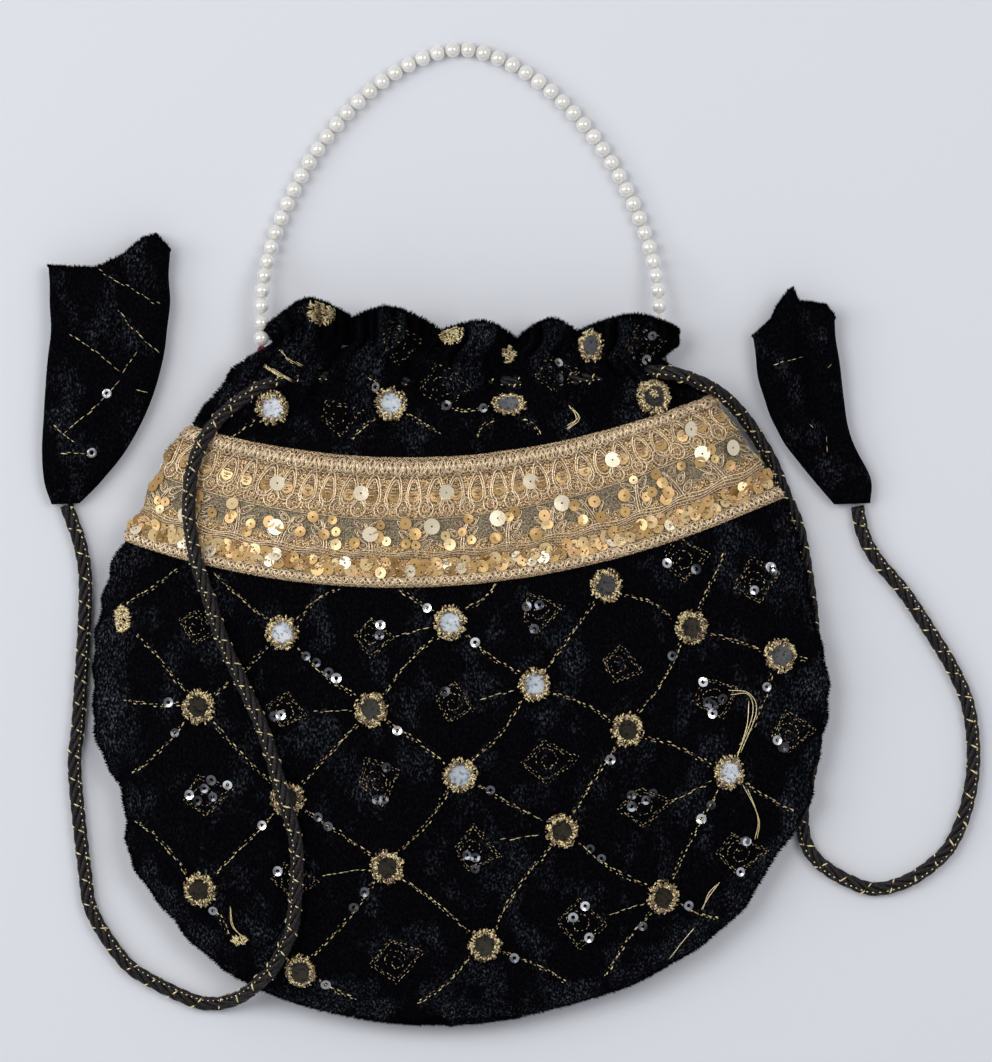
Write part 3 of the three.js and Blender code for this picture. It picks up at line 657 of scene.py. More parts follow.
def across_at(x, y):
    return np.clip((x - middle_at(y)) / np.maximum(half_width_at(y), 1e-9), -1, 1)


GATHER_PLACES = np.array([place for place, _ in FRONT_GATHERS])
GATHER_RISES = np.array([rise for _, rise in FRONT_GATHERS]) * MM


def front_phase(across):
    """Number of the last dip or crest, and the way from it to the next"""
    return np.interp(across, GATHER_PLACES, np.arange(len(FRONT_GATHERS)))


def front_fold(across):
    return -np.cos(np.pi * front_phase(across)) * edge_fill(np.abs(across))


def back_fold(across):
    return -np.cos(2 * BACK_GATHERS * np.arccos(across)) * edge_fill(np.abs(across))


def edge_rise(across, front):
    """How far the frill's edge stands above the mouth"""
    phase = front_phase(across)
    before = np.clip(np.floor(phase).astype(int), 0, len(FRONT_GATHERS) - 2)
    dip = before + before % 2
    crest = before + 1 - before % 2
    from_dip = np.abs(phase - dip)
    wave = (1 - np.cos(np.pi * from_dip)) / 2
    arc = np.sqrt(np.clip(1 - (1 - from_dip) ** 2, 0, 1))
    front_rise = blended(GATHER_RISES[dip], GATHER_RISES[crest], blended(wave, arc, ROUNDNESS))
    scallops = BACK_SCALLOP * np.cos(2 * BACK_GATHERS * np.arccos(across))
    return np.where(front, front_rise, (BACK_RISE - scallops) * (1 - across**2))


def fold_depth(y):
    shoulders = NECK_FOLD * smooth_between(y, NECK_Y - FOLD_REACH, CHANNEL_Y)
    return shoulders + FRILL_FOLD * smooth_between(y, NECK_Y, MOUTH_Y)


def front_height(x, y):
    share = edge_share(x, y)
    rise = blended(BELLY_RISE, NECK_RISE, shoulder_share(y) ** 2)
    across = across_at(x, y)
    fine = FINE_GATHER * ripples(across * 0.12, y * 0.3, 8 * MM, 5)
    fine = fine * smooth_between(y, NECK_Y - 24 * MM, CHANNEL_Y)
    fold = fold_depth(y) * (front_fold(across) + fine)
    crush = CRUSH_DEPTH * ripples(x, y, CRUSH_SIZE, 11, 1.8)
    crush = crush + FINE_CRUSH_DEPTH * ripples(x, y, FINE_CRUSH_SIZE, 12, 1.6)
    below = smooth_between(y, CHANNEL_Y - CHANNEL_HALF, CHANNEL_Y)
    above = smooth_between(y, CHANNEL_Y, CHANNEL_Y + CHANNEL_HALF)
    gathered = 1 - CHANNEL_PINCH * below * (1 - above)
    return SEAM_HEIGHT + rise * gathered * blunt(share, neckness(y)) + (fold + crush) * edge_fill(share)


def under_height(x, y):
    share = edge_share(x, y)
    rolled = np.clip(1 - (1 - share) * BELLY_HALF_WIDTH / UNDER_ROLL, 0, 1)
    edge = SEAM_HEIGHT * blended(rolled**UNDER_POWER, 1 - blunt(share, 1), neckness(y))
    below_band = BAND_LOW_Y - BAND_DIP
    into_band = smooth_between(y, below_band - FADE_FAR, below_band - FADE_NEAR)
    out_of_band = smooth_between(y, NECK_Y - FADE_FAR, NECK_Y - FADE_NEAR)
    fold = BACK_FOLD * fold_depth(y) * (1 + back_fold(across_at(x, y)))
    return edge + UNDER_CLEARANCE + (LACE_ROOM * into_band * (1 - out_of_band) + fold) * edge_fill(share)


def sway_at(level):
    above = np.clip((level - BAND_LOW_Y) / (CHANNEL_Y - BAND_LOW_Y), 0, 1)
    return np.where(level < BELLY_Y, 1 - bowl_share(level), 1 - above**BAND_SETTLE)


def pucker(level, across):
    """The side seams draw the cloth in and let it out again, more so near the neck"""
    near = np.abs(across) ** 14
    wave = ripples(level, np.sign(across) * 0.31, SEAM_WAVE, 21, 1.0, 5)
    depth = blended(0.7 * MM, 1.5 * MM, smooth_between(level, BELLY_Y, NECK_Y))
    heights, left, right = np.array(SEAM_PULLS).T * MM
    pull = np.where(across < 0, np.interp(level, heights, left), np.interp(level, heights, right))
    sunk = near * depth * wave * (bowl_share(level) < 0.985) - pull * np.abs(across) ** 5
    return np.sign(across) * sunk


def cloth(level, angle):
    """Points of the outside of the velvet"""
    level, angle = np.broadcast_arrays(np.asarray(level, float), np.asarray(angle, float))
    sway = sway_at(level)
    low_side = level - sway * BAND_TILT
    high_side = level + sway * BAND_TILT
    left = middle_at(low_side) - half_width_at(low_side)
    right = middle_at(high_side) + half_width_at(high_side)
    across = np.cos(angle)
    front = np.sin(angle) >= 0
    in_from_seam = np.sin(angle) ** 2
    x = blended(left, right, (1 + across) / 2)
    y = level + sway * (BAND_TILT * across - BAND_DIP * in_from_seam)
    y = y + smooth_between(level, NECK_Y, MOUTH_Y) * (edge_rise(across, front) - PILE_ROOM)
    z = np.where(front, front_height(x, y), under_height(x, y))
    bottom = bowl_share(level) ** 24 * (1 - np.abs(across) ** 2)
    seam_wave = 0.7 * MM * ripples(x, 0.0, SEAM_WAVE, 22, 1.0, 5)
    return np.stack([x + pucker(level, across), y + bottom * seam_wave, z], axis=-1)


def cloth_normal(level, angle):
    """The way out of the velvet, by small steps round and up it"""
    turn, lift = 0.004, 0.4 * MM
    round_it = cloth(level, angle + turn) - cloth(level, angle - turn)
    up = cloth(level + lift, angle) - cloth(level - lift, angle)
    return unit(np.cross(up, round_it))


# Velvet pouch: its outside from the bottom seam to the frill's edge, then its inside back down
FRONT_COLUMNS = 320
BACK_COLUMNS = 128
BOWL_ROWS = 62
BODY_ROWS = 62
FRILL_ROWS = 16
INSIDE_ROWS = 30
INSIDE_DEPTH = 70 * MM

columns = np.concatenate([
    np.linspace(0, math.pi, FRONT_COLUMNS, endpoint=False),
    np.linspace(math.pi, math.tau, BACK_COLUMNS, endpoint=False),
])
bowl_levels = BELLY_Y - BOWL_DEPTH * np.cos(np.linspace(0.03, math.pi / 2, BOWL_ROWS))
body_levels = np.linspace(BELLY_Y, NECK_Y, BODY_ROWS + 1)[1:]
frill_levels = np.linspace(NECK_Y, MOUTH_Y, FRILL_ROWS + 1)[1:]
levels = np.concatenate([bowl_levels, body_levels, frill_levels])
outside = cloth(levels[:, None], columns[None, :])
inside_levels = np.linspace(MOUTH_Y - 0.5 * MM, MOUTH_Y - INSIDE_DEPTH, INSIDE_ROWS)
inside = cloth(inside_levels[:, None], columns[None, :])
inward = np.minimum(VELVET_WALL, 0.45 * np.abs(inside[..., 2:3] - SEAM_HEIGHT) + 0.05 * MM)
inside = inside - cloth_normal(inside_levels[:, None], columns[None, :]) * inward
rings = np.concatenate([outside, inside])
bottom_point = cloth(BELLY_Y - BOWL_DEPTH, math.pi / 2).reshape(1, 3)
inside_middle = inside[-1].mean(axis=0).reshape(1, 3)
pouch_points = np.concatenate([rings.reshape(-1, 3), bottom_point, inside_middle])
count = len(columns)
pole, middle = len(pouch_points) - 2, len(pouch_points) - 1
pouch_faces = grid_faces(len(rings), count) + fan(pole, 0, count)
pouch_faces += flipped(fan(middle, (len(rings) - 1) * count, count))
pouch = mesh_object("pouch_velvet", pouch_points, pouch_faces, VELVET)
# Velvet tone: painted sheen on the fold crests of the neck, painted shade with no specks in the valleys
# between them, and painted sheen near the outline
near_neck = smooth_between(pouch_points[:, 1], BAND_TOP_Y - 6 * MM, NECK_Y)
near_edge = smooth_between(edge_share(pouch_points[:, 0], pouch_points[:, 1]), 0.88, 1.0)
on_crest = smooth_between(np.tile(front_fold(np.cos(columns)), len(rings)), -0.2, 0.9)
painted_sheen_share = near_neck * np.append(1.5 * on_crest - 0.5, [0, 0]) + 0.7 * near_edge
set_tone(pouch, np.clip(painted_sheen_share, -0.5, 1))
placed(pouch, "velvet", "velvet_pouch")
surface = BVHTree.FromPolygons(pouch_points.tolist(), pouch_faces[:(len(levels) - 1) * count])


def drop(tree, places, lift=0.0):
    """Points on a surface under these places, and the way out there"""
    points = []
    normals = []
    for x, y in places:
        spot, normal, _, _ = tree.ray_cast(Vector((x, y, RAY_HEIGHT)), Vector((0, 0, -1)))
        if spot is None:
            return None, None
        if normal.z < 0:
            normal = -normal
        points.append(spot + normal * lift)
        normals.append(normal)
    return np.array(points), np.array(normals)


# Lining: the frame's own shape, made smooth
lining_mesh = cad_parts["lining_pouch"].data.copy()
lining_mesh.materials.clear()
lining_mesh.materials.append(LINING)
lining = bpy.data.objects.new("lining_satin", lining_mesh)
bpy.context.scene.collection.objects.link(lining)
lining.modifiers.new("weld", "WELD").merge_threshold = 0.02 * MM
smooth = lining.modifiers.new("smooth", "SUBSURF")
smooth.levels = smooth.render_levels = 1
placed(lining, "lining", "lining_pouch")


# Lace band: places on it are given along it, round the bag from the right seam, and up from its lower edge
BRAID_WIDTH = 3.6 * MM
GROUND_LIFT = 0.75 * MM
THREAD_LIFT = 0.95 * MM
GROUND_STEP = 0.8 * MM
SEQUIN_RADIUS = 2.1 * MM
SEQUIN_HOLE = 0.32 * MM
SEQUIN_THICKNESS = 0.12 * MM
LOOP_PITCH = 7.3 * MM
FLOWER_PITCH = 14 * MM
BACK_PRESS = 0.35
BRAID_PITCH = 4.6 * MM
GROUND_ROWS = 20
GROUND_INNER_LIFT = 0.35 * MM
FLOWER_BASE = 10.6
FLOWER_HEIGHT = 9.2
FLOWER_BEND = 2.6 * MM
EYELET_ROW = 23.6 * MM
ARCH_ROW = 27.6 * MM

loop_angles = np.linspace(0, math.tau, 1441)
middle_row = cloth(BAND_LOW_Y + BAND_WIDTH / 2, loop_angles)
loop_length = np.concatenate([[0], np.cumsum(np.linalg.norm(np.diff(middle_row, axis=0), axis=1))])
BAND_LENGTH = float(loop_length[-1])


def on_band(along, up, lift):
    """Points over the band, pressed flatter under the bag, and the way out there"""
    along, up, lift = np.broadcast_arrays(*(np.asarray(value, float) for value in (along, up, lift)))
    angle = np.interp(along % BAND_LENGTH, loop_length, loop_angles)
    lift = lift * (1 - BACK_PRESS * smooth_between(-np.sin(angle), 0, 0.3))
    level = BAND_LOW_Y + up
    out = cloth_normal(level, angle)
    return cloth(level, angle) + out * lift[..., None], out


def ground_sheet():
    """The lace's own net, a thin closed band round the bag"""
    ups = np.linspace(0, BAND_WIDTH, GROUND_ROWS)
    alongs = np.linspace(0, BAND_LENGTH, round(BAND_LENGTH / GROUND_STEP), endpoint=False)
    outer, _ = on_band(alongs[None, :], ups[:, None], GROUND_LIFT)
    inner, _ = on_band(alongs[None, :], ups[::-1, None], GROUND_INNER_LIFT)
    rings = np.concatenate([outer, inner, outer[:1]])
    count = len(alongs)
    faces = flipped(grid_faces(len(rings), count))
    wrapped = [[corner % (2 * len(ups) * count) for corner in face] for face in faces]
    ground = mesh_object("lace_ground", rings[:-1].reshape(-1, 3), wrapped, GROUND)
    set_tone(ground, np.repeat(np.concatenate([ups, ups[::-1]]) / BAND_WIDTH, count))
    return placed(ground, "lace", "lace_band")


def lace_thread(shapes, alongs, ups, radius, tone, lift=THREAD_LIFT):
    line, out = on_band(alongs, ups, lift)
    shapes.add(tube(line, radius, 4, out), tone)


def braid(shapes, low, width, draw):
    """Three strands that cross by turns along an edge, with picots on their outer side"""
    alongs = np.arange(0, BAND_LENGTH, 0.7 * MM)
    middle = low + width / 2
    for strand in range(3):
        turn = math.tau * (alongs / BRAID_PITCH + strand / 3)
        ups = middle + 0.34 * width * np.sin(turn)
        lift = THREAD_LIFT + 0.35 * MM * (1 + np.cos(2 * turn))
        lace_thread(shapes, alongs, ups, 0.55 * MM, 0.35 + 0.25 * strand, lift)
    for edge in (low + 0.25 * MM, low + width - 0.25 * MM):
        ups = edge + 0.28 * MM * np.sin(math.tau * alongs / (1.9 * MM))
        lace_thread(shapes, alongs, ups, 0.3 * MM, draw.uniform(0.4, 0.8))
    for place in np.arange(0, BAND_LENGTH - 1.2 * MM, 2.6 * MM):
        loop_line(shapes, place + draw.uniform(-0.3, 0.3) * MM, middle + draw.uniform(-0.3, 0.3) * MM,
                  draw.uniform(2.1, 2.9) * MM, draw.uniform(1.9, 2.8) * MM, draw.uniform(-0.7, 0.7),
                  0.24 * MM, draw.uniform(0.5, 1.0), lift=THREAD_LIFT + 0.75 * MM)


def loop_line(shapes, along, up, wide, tall, tilt, radius, tone, point=0.0, lift=THREAD_LIFT):
    """A loop of thread: an oval, drawn out to a point at its top where asked"""
    turn = np.linspace(0, math.tau, 19)
    x = 0.5 * wide * np.sin(turn) * (1 - point * (1 + np.cos(turn)) / 2)
    y = 0.5 * tall * np.cos(turn)
    c, s = math.cos(tilt), math.sin(tilt)
    lace_thread(shapes, along + c * x + s * y, up - s * x + c * y, radius, tone, lift)


def lace_flower(shapes, sequins, along, draw):
    """Stems that curve up out of the wavy cords, with pairs of leaves and sequins at their tips"""
    side = 1 if draw.random() < 0.5 else -1
    reach = np.linspace(0, 1, 12)
    for shift in (-0.5, 0.5):
        stem = along + side * FLOWER_BEND * reach**2 + shift * MM * (1 - 0.5 * reach)
        ups = (FLOWER_BASE + FLOWER_HEIGHT * reach) * MM
        lace_thread(shapes, stem, ups, 0.3 * MM, draw.uniform(0.4, 0.9))
    for height, spread in ((12.6, 3.1), (15.4, 3.0), (18.2, 2.6)):
        middle = along + side * FLOWER_BEND * ((height - FLOWER_BASE) / FLOWER_HEIGHT) ** 2
        for way in (-1, 1):
            for size in (1.0, 0.55):
                loop_line(shapes, middle + way * spread * MM, (height + 0.9) * MM, 2.7 * MM * size,
                          4.6 * MM * size, way * 0.95, 0.26 * MM, draw.uniform(0.3, 0.9), 0.6)
    for _ in range(5):
        tone = draw.choice([0.25, 0.3, 0.4, 0.5, 0.6, 0.75, 1.0])
        radius = 2.6 * MM if tone == 1.0 else draw.uniform(1.4, 2.1) * MM
        place = along + draw.uniform(-6, 6) * MM
        add_sequin(sequins, place, draw.uniform(12, 20.5) * MM, radius, tone, draw, 1.5 * MM)


def add_sequin(sequins, along, up, radius, tone, draw, lift=1.35 * MM, tilt=0.13):
    place, out = on_band(along, up, lift + draw.uniform(0, 0.25) * MM)
    normal = unit(out + np.array([draw.gauss(0, tilt), draw.gauss(0, tilt), 0]))
    shape = disc(radius, SEQUIN_THICKNESS, 14, SEQUIN_HOLE, -0.08 * MM)
    sequins.stamp(shape, place, normal, draw.uniform(0, math.tau), tone)


def lace():
    draw = random.Random(31)
    threads = Shapes()
    sequins = Shapes()
    braids = Shapes()
    braid(braids, 0.1 * MM, BRAID_WIDTH, draw)
    braid(braids, BAND_WIDTH - BRAID_WIDTH - 0.1 * MM, BRAID_WIDTH, draw)
    alongs = np.arange(0, BAND_LENGTH, 1.1 * MM)
    for line in range(4):
        wave = 0.45 * MM * np.sin(math.tau * alongs / FLOWER_PITCH + 0.5 * line)
        lace_thread(threads, alongs, (8.9 + 0.75 * line) * MM + wave, 0.3 * MM, 0.4 + 0.15 * line)
    lace_thread(threads, alongs, np.full(len(alongs), 21.0 * MM), 0.28 * MM, 0.5)
    for place in np.arange(0, BAND_LENGTH, 3.0 * MM):
        for row, up in enumerate((5.0, 7.3)):
            along = place + (1.5 * MM if row else 0) + draw.uniform(-0.5, 0.5) * MM
            tone = draw.choices([0.1, 0.35, 0.5, 0.7, 1.0], [4, 5, 4, 3, 1])[0]
            radius = SEQUIN_RADIUS * draw.uniform(0.75, 1.1)
            add_sequin(sequins, along, (up + draw.uniform(-0.5, 0.5)) * MM, radius, tone, draw, tilt=0.2)
    for _ in range(900):
        along, up = draw.uniform(0, BAND_LENGTH), draw.uniform(3.8, 8.6) * MM
        ends = along + draw.uniform(0.3, 0.6) * np.array([-1.0, 0, 1.0]) * MM
        ups = up + draw.uniform(-0.5, 0.5) * np.array([-1.0, 0, 1.0]) * MM
        lace_thread(threads, ends, ups, 0.26 * MM, draw.uniform(0.2, 1.0), 1.75 * MM)
    for place in np.arange(0, BAND_LENGTH - 0.6 * FLOWER_PITCH, FLOWER_PITCH):
        lace_flower(threads, sequins, place, draw)
    for number, place in enumerate(np.arange(0, BAND_LENGTH - 0.6 * LOOP_PITCH, LOOP_PITCH)):
        low = place + draw.uniform(-0.5, 0.5) * MM
        loop_line(threads, low, EYELET_ROW, 4.7 * MM, 4.4 * MM, 0, 0.34 * MM, draw.uniform(0.5, 1.0))
        loop_line(threads, low, EYELET_ROW, 2.3 * MM, 2.2 * MM, 0, 0.3 * MM, draw.uniform(0.3, 0.8))
        middle = place + 0.5 * LOOP_PITCH + draw.uniform(-0.5, 0.5) * MM
        wide, tilt = draw.uniform(0.85, 1.1), draw.uniform(-0.16, 0.16)
        for size in (1.0, 0.76):
            loop_line(threads, middle, ARCH_ROW, 7.3 * MM * size * wide, 8.2 * MM * size, tilt, 0.34 * MM,
                      draw.uniform(0.6, 1.0), 0.45)
        add_sequin(sequins, middle, 26.8 * MM, 1.9 * MM, draw.choice([0.15, 0.3, 0.45, 0.6]), draw, 1.1 * MM)
        if number % 4 == 2:
            add_sequin(sequins, place, 27.4 * MM, 2.5 * MM, 1.0, draw, 1.4 * MM)
        for row in range(5):
            half = (1.5 - 0.4 * abs(row - 2)) * MM
            ends = middle + half * np.array([-1.0, 0, 1.0])
            lace_thread(threads, ends, np.full(3, (26.2 + 0.8 * row) * MM), 0.28 * MM,
                        draw.uniform(0.1, 0.8), THREAD_LIFT + 0.45 * MM)
    for place in np.arange(0, BAND_LENGTH, 2.4 * MM):
        lace_thread(threads, place + np.array([0, 0.7, 1.4]) * MM, np.full(3, 30.9 * MM), 0.22 * MM, 0.0)
    braids.made("lace_braids", LACE_CORD, "lace")
    threads.made("lace_threads", LACE_CORD, "lace")
    sequins.made("lace_sequins", AMBER, "lace", smooth=False)


lace_ground = ground_sheet()
lace()


# Mirrors, each seated on the cloth, and the ring of stitches that holds it
GLASS_THICKNESS = 0.8 * MM
RIM_STITCHES = 40
RIM_KNOTS = 130
SEAT_SAMPLES = 12
# Tones of the glass, painted reflection: bright or grey for the mirrors listed here, dark for the rest
MIRRORS_PAINTED_BRIGHT = {1: 1.0, 2: 0.7, 6: 0.9, 7: 0.85, 17: 1.0, 13: 0.4, 16: 0.2}
MIRRORS_PAINTED_GREY = {3: 0.8, 5: 0.5, 8: 0.3, 10: 0.55, 12: 0.2}
MIRROR_SHAPES = {3: (0.68, 1.0), 5: (1.0, 0.74)}
DULL_LEAN = 0.1
BRIGHT_LEAN = 0.5


def seat(x, y, radius):
    """Where a flat disc rests on the cloth: its middle and the way it faces"""
    turn = np.arange(SEAT_SAMPLES) * math.tau / SEAT_SAMPLES
    around, _ = drop(surface, np.stack([x + radius * np.cos(turn), y + radius * np.sin(turn)], axis=1))
    centre = drop(surface, [(x, y)])[0][0]
    quarter = SEAT_SAMPLES // 4
    slope_x = (around[0][2] - around[2 * quarter][2]) / (2 * radius)
    slope_y = (around[quarter][2] - around[3 * quarter][2]) / (2 * radius)
    normal = unit(np.array([-slope_x, -slope_y, 1.0]))
    stands = (np.concatenate([around, [centre]]) - centre) @ normal
    return centre + normal * (0.5 * stands.max() + 0.15 * MM), normal


def stitched_rim(centre, normal, shape, draw):
    """Gold stitches laid over the mirror's edge, and short ones every way over them"""
    stitches = Shapes()
    turned = facing(normal) * np.array([*shape, 1.0])
    for number in range(RIM_STITCHES):
        angle = math.tau * (number + draw.uniform(-0.3, 0.3)) / RIM_STITCHES
        end = angle + draw.gauss(0, 0.2)
        outer = draw.uniform(4.5, 5.8) * MM
        inner = draw.uniform(3.1, 3.7) * MM
        path = [(inner, 1.0, angle), (4.1 * MM, 1.45, angle), (4.8 * MM, 1.0, end), (outer, 0.1, end)]
        points = np.array([(r * math.cos(a), r * math.sin(a), z * MM) for r, z, a in path])
        points = points @ turned.T + centre
        thick = draw.uniform(0.18, 0.28) * MM
        stitches.add(tube(points, thick * np.array([0.7, 1, 1, 0.75]), 5), draw.choice([0.0, 0.1, 0.3, 0.7]))
    for _ in range(RIM_KNOTS):
        angle, radius = draw.uniform(0, math.tau), draw.uniform(3.3, 5.6)
        rise = 1.6 - 0.6 * abs(radius - 4.1) ** 2 / 1.2 + draw.uniform(-0.1, 0.25)
        turn, reach = draw.uniform(0, math.tau), draw.uniform(0.3, 0.6)
        step = np.array([reach * math.cos(turn), reach * math.sin(turn), 0.2])
        knot = np.array([radius * math.cos(angle), radius * math.sin(angle), rise])
        points = np.array([knot - step, knot, knot + step * (1, 1, -1)]) * MM @ turned.T + centre
        tone = draw.choice([0.0, 0.1, 0.4, 0.9, 1.0])
        stitches.add(tube(points, draw.uniform(0.2, 0.32) * MM, 5), tone)
    return stitches


mirror_places = {}
for number in range(1, MIRROR_COUNT + 1):
    draw = random.Random(100 + number)
    low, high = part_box(f"mirror_{number:02d}")
    middle = (low + high) / 2
    centre, normal = seat(middle.x, middle.y, RIM_RADIUS)
    mirror_places[number] = (middle.x, middle.y)
    shape = MIRROR_SHAPES.get(number, (1.0, draw.uniform(0.92, 1.0)))
    tone = MIRRORS_PAINTED_BRIGHT.get(number, MIRRORS_PAINTED_GREY.get(number, draw.uniform(0.0, 0.15)))
    finish, lean = (GLASS_PAINTED_BRIGHT, BRIGHT_LEAN) if number in MIRRORS_PAINTED_BRIGHT else (DULL_GLASS, DULL_LEAN)
    points, faces = disc(MIRROR_RADIUS, GLASS_THICKNESS, 28)
    glass = Shapes()
    glass.stamp((points * (*shape, 1.0), faces), centre, unit(normal * (lean, lean, 1)), 0.0, tone)
    glass.made(f"mirror_glass_{number:02d}", finish, "mirror", f"mirror_{number:02d}", smooth=False)
    rim = stitched_rim(centre, normal, shape, draw)
    rim.made(f"mirror_stitches_{number:02d}", GOLD, "rim", f"mirror_rim_{number:02d}")


# Embroidery between the mirrors: chain stitch lines, small kite motifs, ring sequins and loose threads
STITCH = 1.35 * MM
STITCH_RADIUS = 0.175 * MM
RING_RADIUS = 1.55 * MM
RING_HOLE = 0.62 * MM
RING_LEAN = 0.12
LINE_START = 6.2 * MM
THREAD_ARCH = 0.7 * MM
JOINED_MIRRORS = [
    (6, 11), (6, 12), (7, 12), (7, 13), (8, 13), (8, 9), (9, 10), (9, 14), (10, 17), (11, 15), (12, 15),
    (12, 16), (13, 16), (13, 14), (14, 17), (14, 20), (15, 18), (15, 19), (16, 19), (16, 20), (17, 23),
    (19, 21), (19, 22), (20, 22), (20, 23),
]
LINES_OUT = [
    (1, (-77, 28)), (2, (-35, 29)), (2, (-7, 31)), (2, (-30, 50)), (3, (4.8, 29.5)), (3, (-3, 39)),
    (3, (25, 30)), (6, (-79, -13)), (6, (-39, -18)), (7, (-20, -18)), (7, (11, -16)), (9, (84, -6)),
    (10, (110, -41)), (11, (-108, -53)), (11, (-105, -77)), (11, (-104, -32)), (17, (106, -89)),
    (18, (-104, -92)), (18, (-74, -129)), (21, (-33, -149)), (22, (-14, -150)), (22, (33, -143)),
    (23, (46, -141)), (23, (82, -123)),
]
RINGS_ON_LINES = {(6, 12): 4, (15, 19): 2, (19, 21): 2, (15, 18): 1, (14, 20): 1, (17, 23): 2, (20, 23): 2,
                  (16, 20): 1, (9, 14): 1, (12, 16): 1, (7, 13): 1, (10, 17): 1}
MOTIFS = [
    ((-82, -84), 6), ((-85, -30), 0), ((-29, -33), 2), ((-56, -57), 3), ((-3, -54), 1), ((24, -25), 3),
    ((49, -42), 0), ((80, -53), 6), ((70, -9), 2), ((93, -16), 4), ((-27, -79), 3), ((27, -72), 0),
    ((57, -87), 4), ((-54, -111), 2), ((3, -101), 3), ((37, -124), 3), ((-21, -136), 0), ((104, -64), 3),
    ((88, -102), 3), ((-21, 60), 1), ((-40, 37), 0), ((29, 50), 3), ((57, 59), 5), ((-6, 46), 1),
]
MOTIF_TIES = [((-21, -33), 7), ((-48, -57), 12), ((6, -53), 13), ((66, -86), 17), ((-45, -109), 19),
              ((12, -98), 20), ((46, -122), 23)]
KITE = [(-6.0, -0.4), (-1.0, 6.4), (8.6, 0.8), (0.4, -6.6), (-6.0, -0.4)]
SQUIGGLE = [(-3.0, -1.2), (-3.2, 1.4), (-1.0, 3.2), (1.8, 2.6), (3.2, 0.2), (2.2, -2.2), (-0.2, -2.8),
            (-1.6, -1.0), (-0.6, 0.9), (1.1, 0.4)]


class Needlework:
    """Gold stitches and ring sequins sewn on one surface"""

    def __init__(self, tree):
        self.tree = tree
        self.gold = Shapes()
        self.rings = Shapes()


def stitch_along(work, points, draw, stitch=STITCH, thick=1.0, bright=(0.35, 1.0), gap=0.55):
    """Broken stitches on the cloth along a line given across the bag"""
    line = resampled(np.asarray(points, float), 0.45 * MM)
    length = path_length(line)
    place = draw.uniform(0, 0.5) * stitch
    while place < length - 0.4 * stitch:
        size = stitch * draw.uniform(0.55, 1.25)
        shares = np.linspace(place, min(place + size, length), 4) / length * (len(line) - 1)
        index = np.clip(shares.astype(int), 0, len(line) - 2)
        spots = line[index] + (line[index + 1] - line[index]) * (shares - index)[:, None]
        spots = spots + np.array([draw.gauss(0, 0.22), draw.gauss(0, 0.22)]) * MM
        flat, out = drop(work.tree, spots)
        if flat is not None:
            rise = np.array([0.02, 0.34, 0.34, 0.02]) * MM
            radius = STITCH_RADIUS * thick * draw.uniform(0.8, 1.35) * np.array([0.7, 1.0, 1.0, 0.7])
            work.gold.add(tube(flat + out * rise[:, None], radius, 4, out), draw.uniform(*bright))
        place += size + stitch * gap * draw.uniform(0.2, 1.4)


def ring_sequin(work, x, y, tone, draw):
    spot, out = drop(work.tree, [(x, y)], 0.25 * MM)
    if spot is None:
        return
    normal = unit(out[0] + np.array([draw.gauss(0, RING_LEAN), draw.gauss(0, RING_LEAN), 0]))
    size = draw.uniform(0.92, 1.08)
    shape = disc(RING_RADIUS * size, SEQUIN_THICKNESS, 14, RING_HOLE * size, -0.18 * MM)
    work.rings.stamp(shape, spot[0] + out[0] * 0.15 * MM, normal, draw.uniform(0, math.tau), tone)


def chain_line(work, start, end, draw, rings_on, from_rim=True, to_rim=True):
    """A chain of stitches from one place to another, its two sides a little apart"""
    start, end = np.asarray(start, float), np.asarray(end, float)
    along = unit(end - start)
    side = np.array([-along[1], along[0]])
    start = start + along * (LINE_START if from_rim else 0)
    end = end - along * (LINE_START if to_rim else 0)
    share = np.linspace(0, 1, 9)[:, None]
    bow = draw.uniform(-1.6, 1.6) * MM * np.sin(math.pi * share)
    line = start + (end - start) * share + side * bow
    stitch_along(work, line + side * 0.22 * MM, draw, bright=(0.2, 1.0), gap=0.6)
    stitch_along(work, line - side * 0.35 * MM, draw, 0.8 * MM, 0.75, (0.0, 0.9), 1.5)
    for number in range(rings_on):
        share = 0.18 + 0.16 * number + draw.uniform(-0.03, 0.03)
        place = start + (end - start) * share + side * draw.gauss(0, 0.4) * MM
        ring_sequin(work, *place, draw.choice([0.2, 0.5, 0.7, 1.0]), draw)


def motif(work, x, y, sequins, draw):
    turn = draw.uniform(-0.25, 0.25)
    size = draw.uniform(0.88, 1.1)
    spin = np.array([[math.cos(turn), -math.sin(turn)], [math.sin(turn), math.cos(turn)]]) * size * MM
    corners = [(px + draw.gauss(0, 0.8), py + draw.gauss(0, 0.8)) for px, py in KITE[:-1]]
    kite = np.array(corners + corners[:1]) @ spin.T + (x, y)
    gap = 2.2 if y > BAND_TOP_Y - BAND_DIP else 0.8
    for scale in (1.0, 0.86):
        stitch_along(work, (kite - (x, y)) * scale + (x, y), draw, 0.8 * MM, 0.62, (0.0, 0.6), gap)
    stitch_along(work, np.array(SQUIGGLE) @ spin.T + (x, y), draw, 0.8 * MM, 0.62, (0.0, 0.8), gap)
    for _ in range(sequins):
        corner = draw.randrange(4)
        share = draw.uniform(0.1, 0.9)
        place = kite[corner] * (1 - share) + kite[corner + 1] * share
        place = place + (np.array([x, y]) - place) * draw.choice([0.0, 0.1, 0.55])
        ring_sequin(work, *place, draw.choice([0.1, 0.3, 0.5, 0.8, 1.0]), draw)


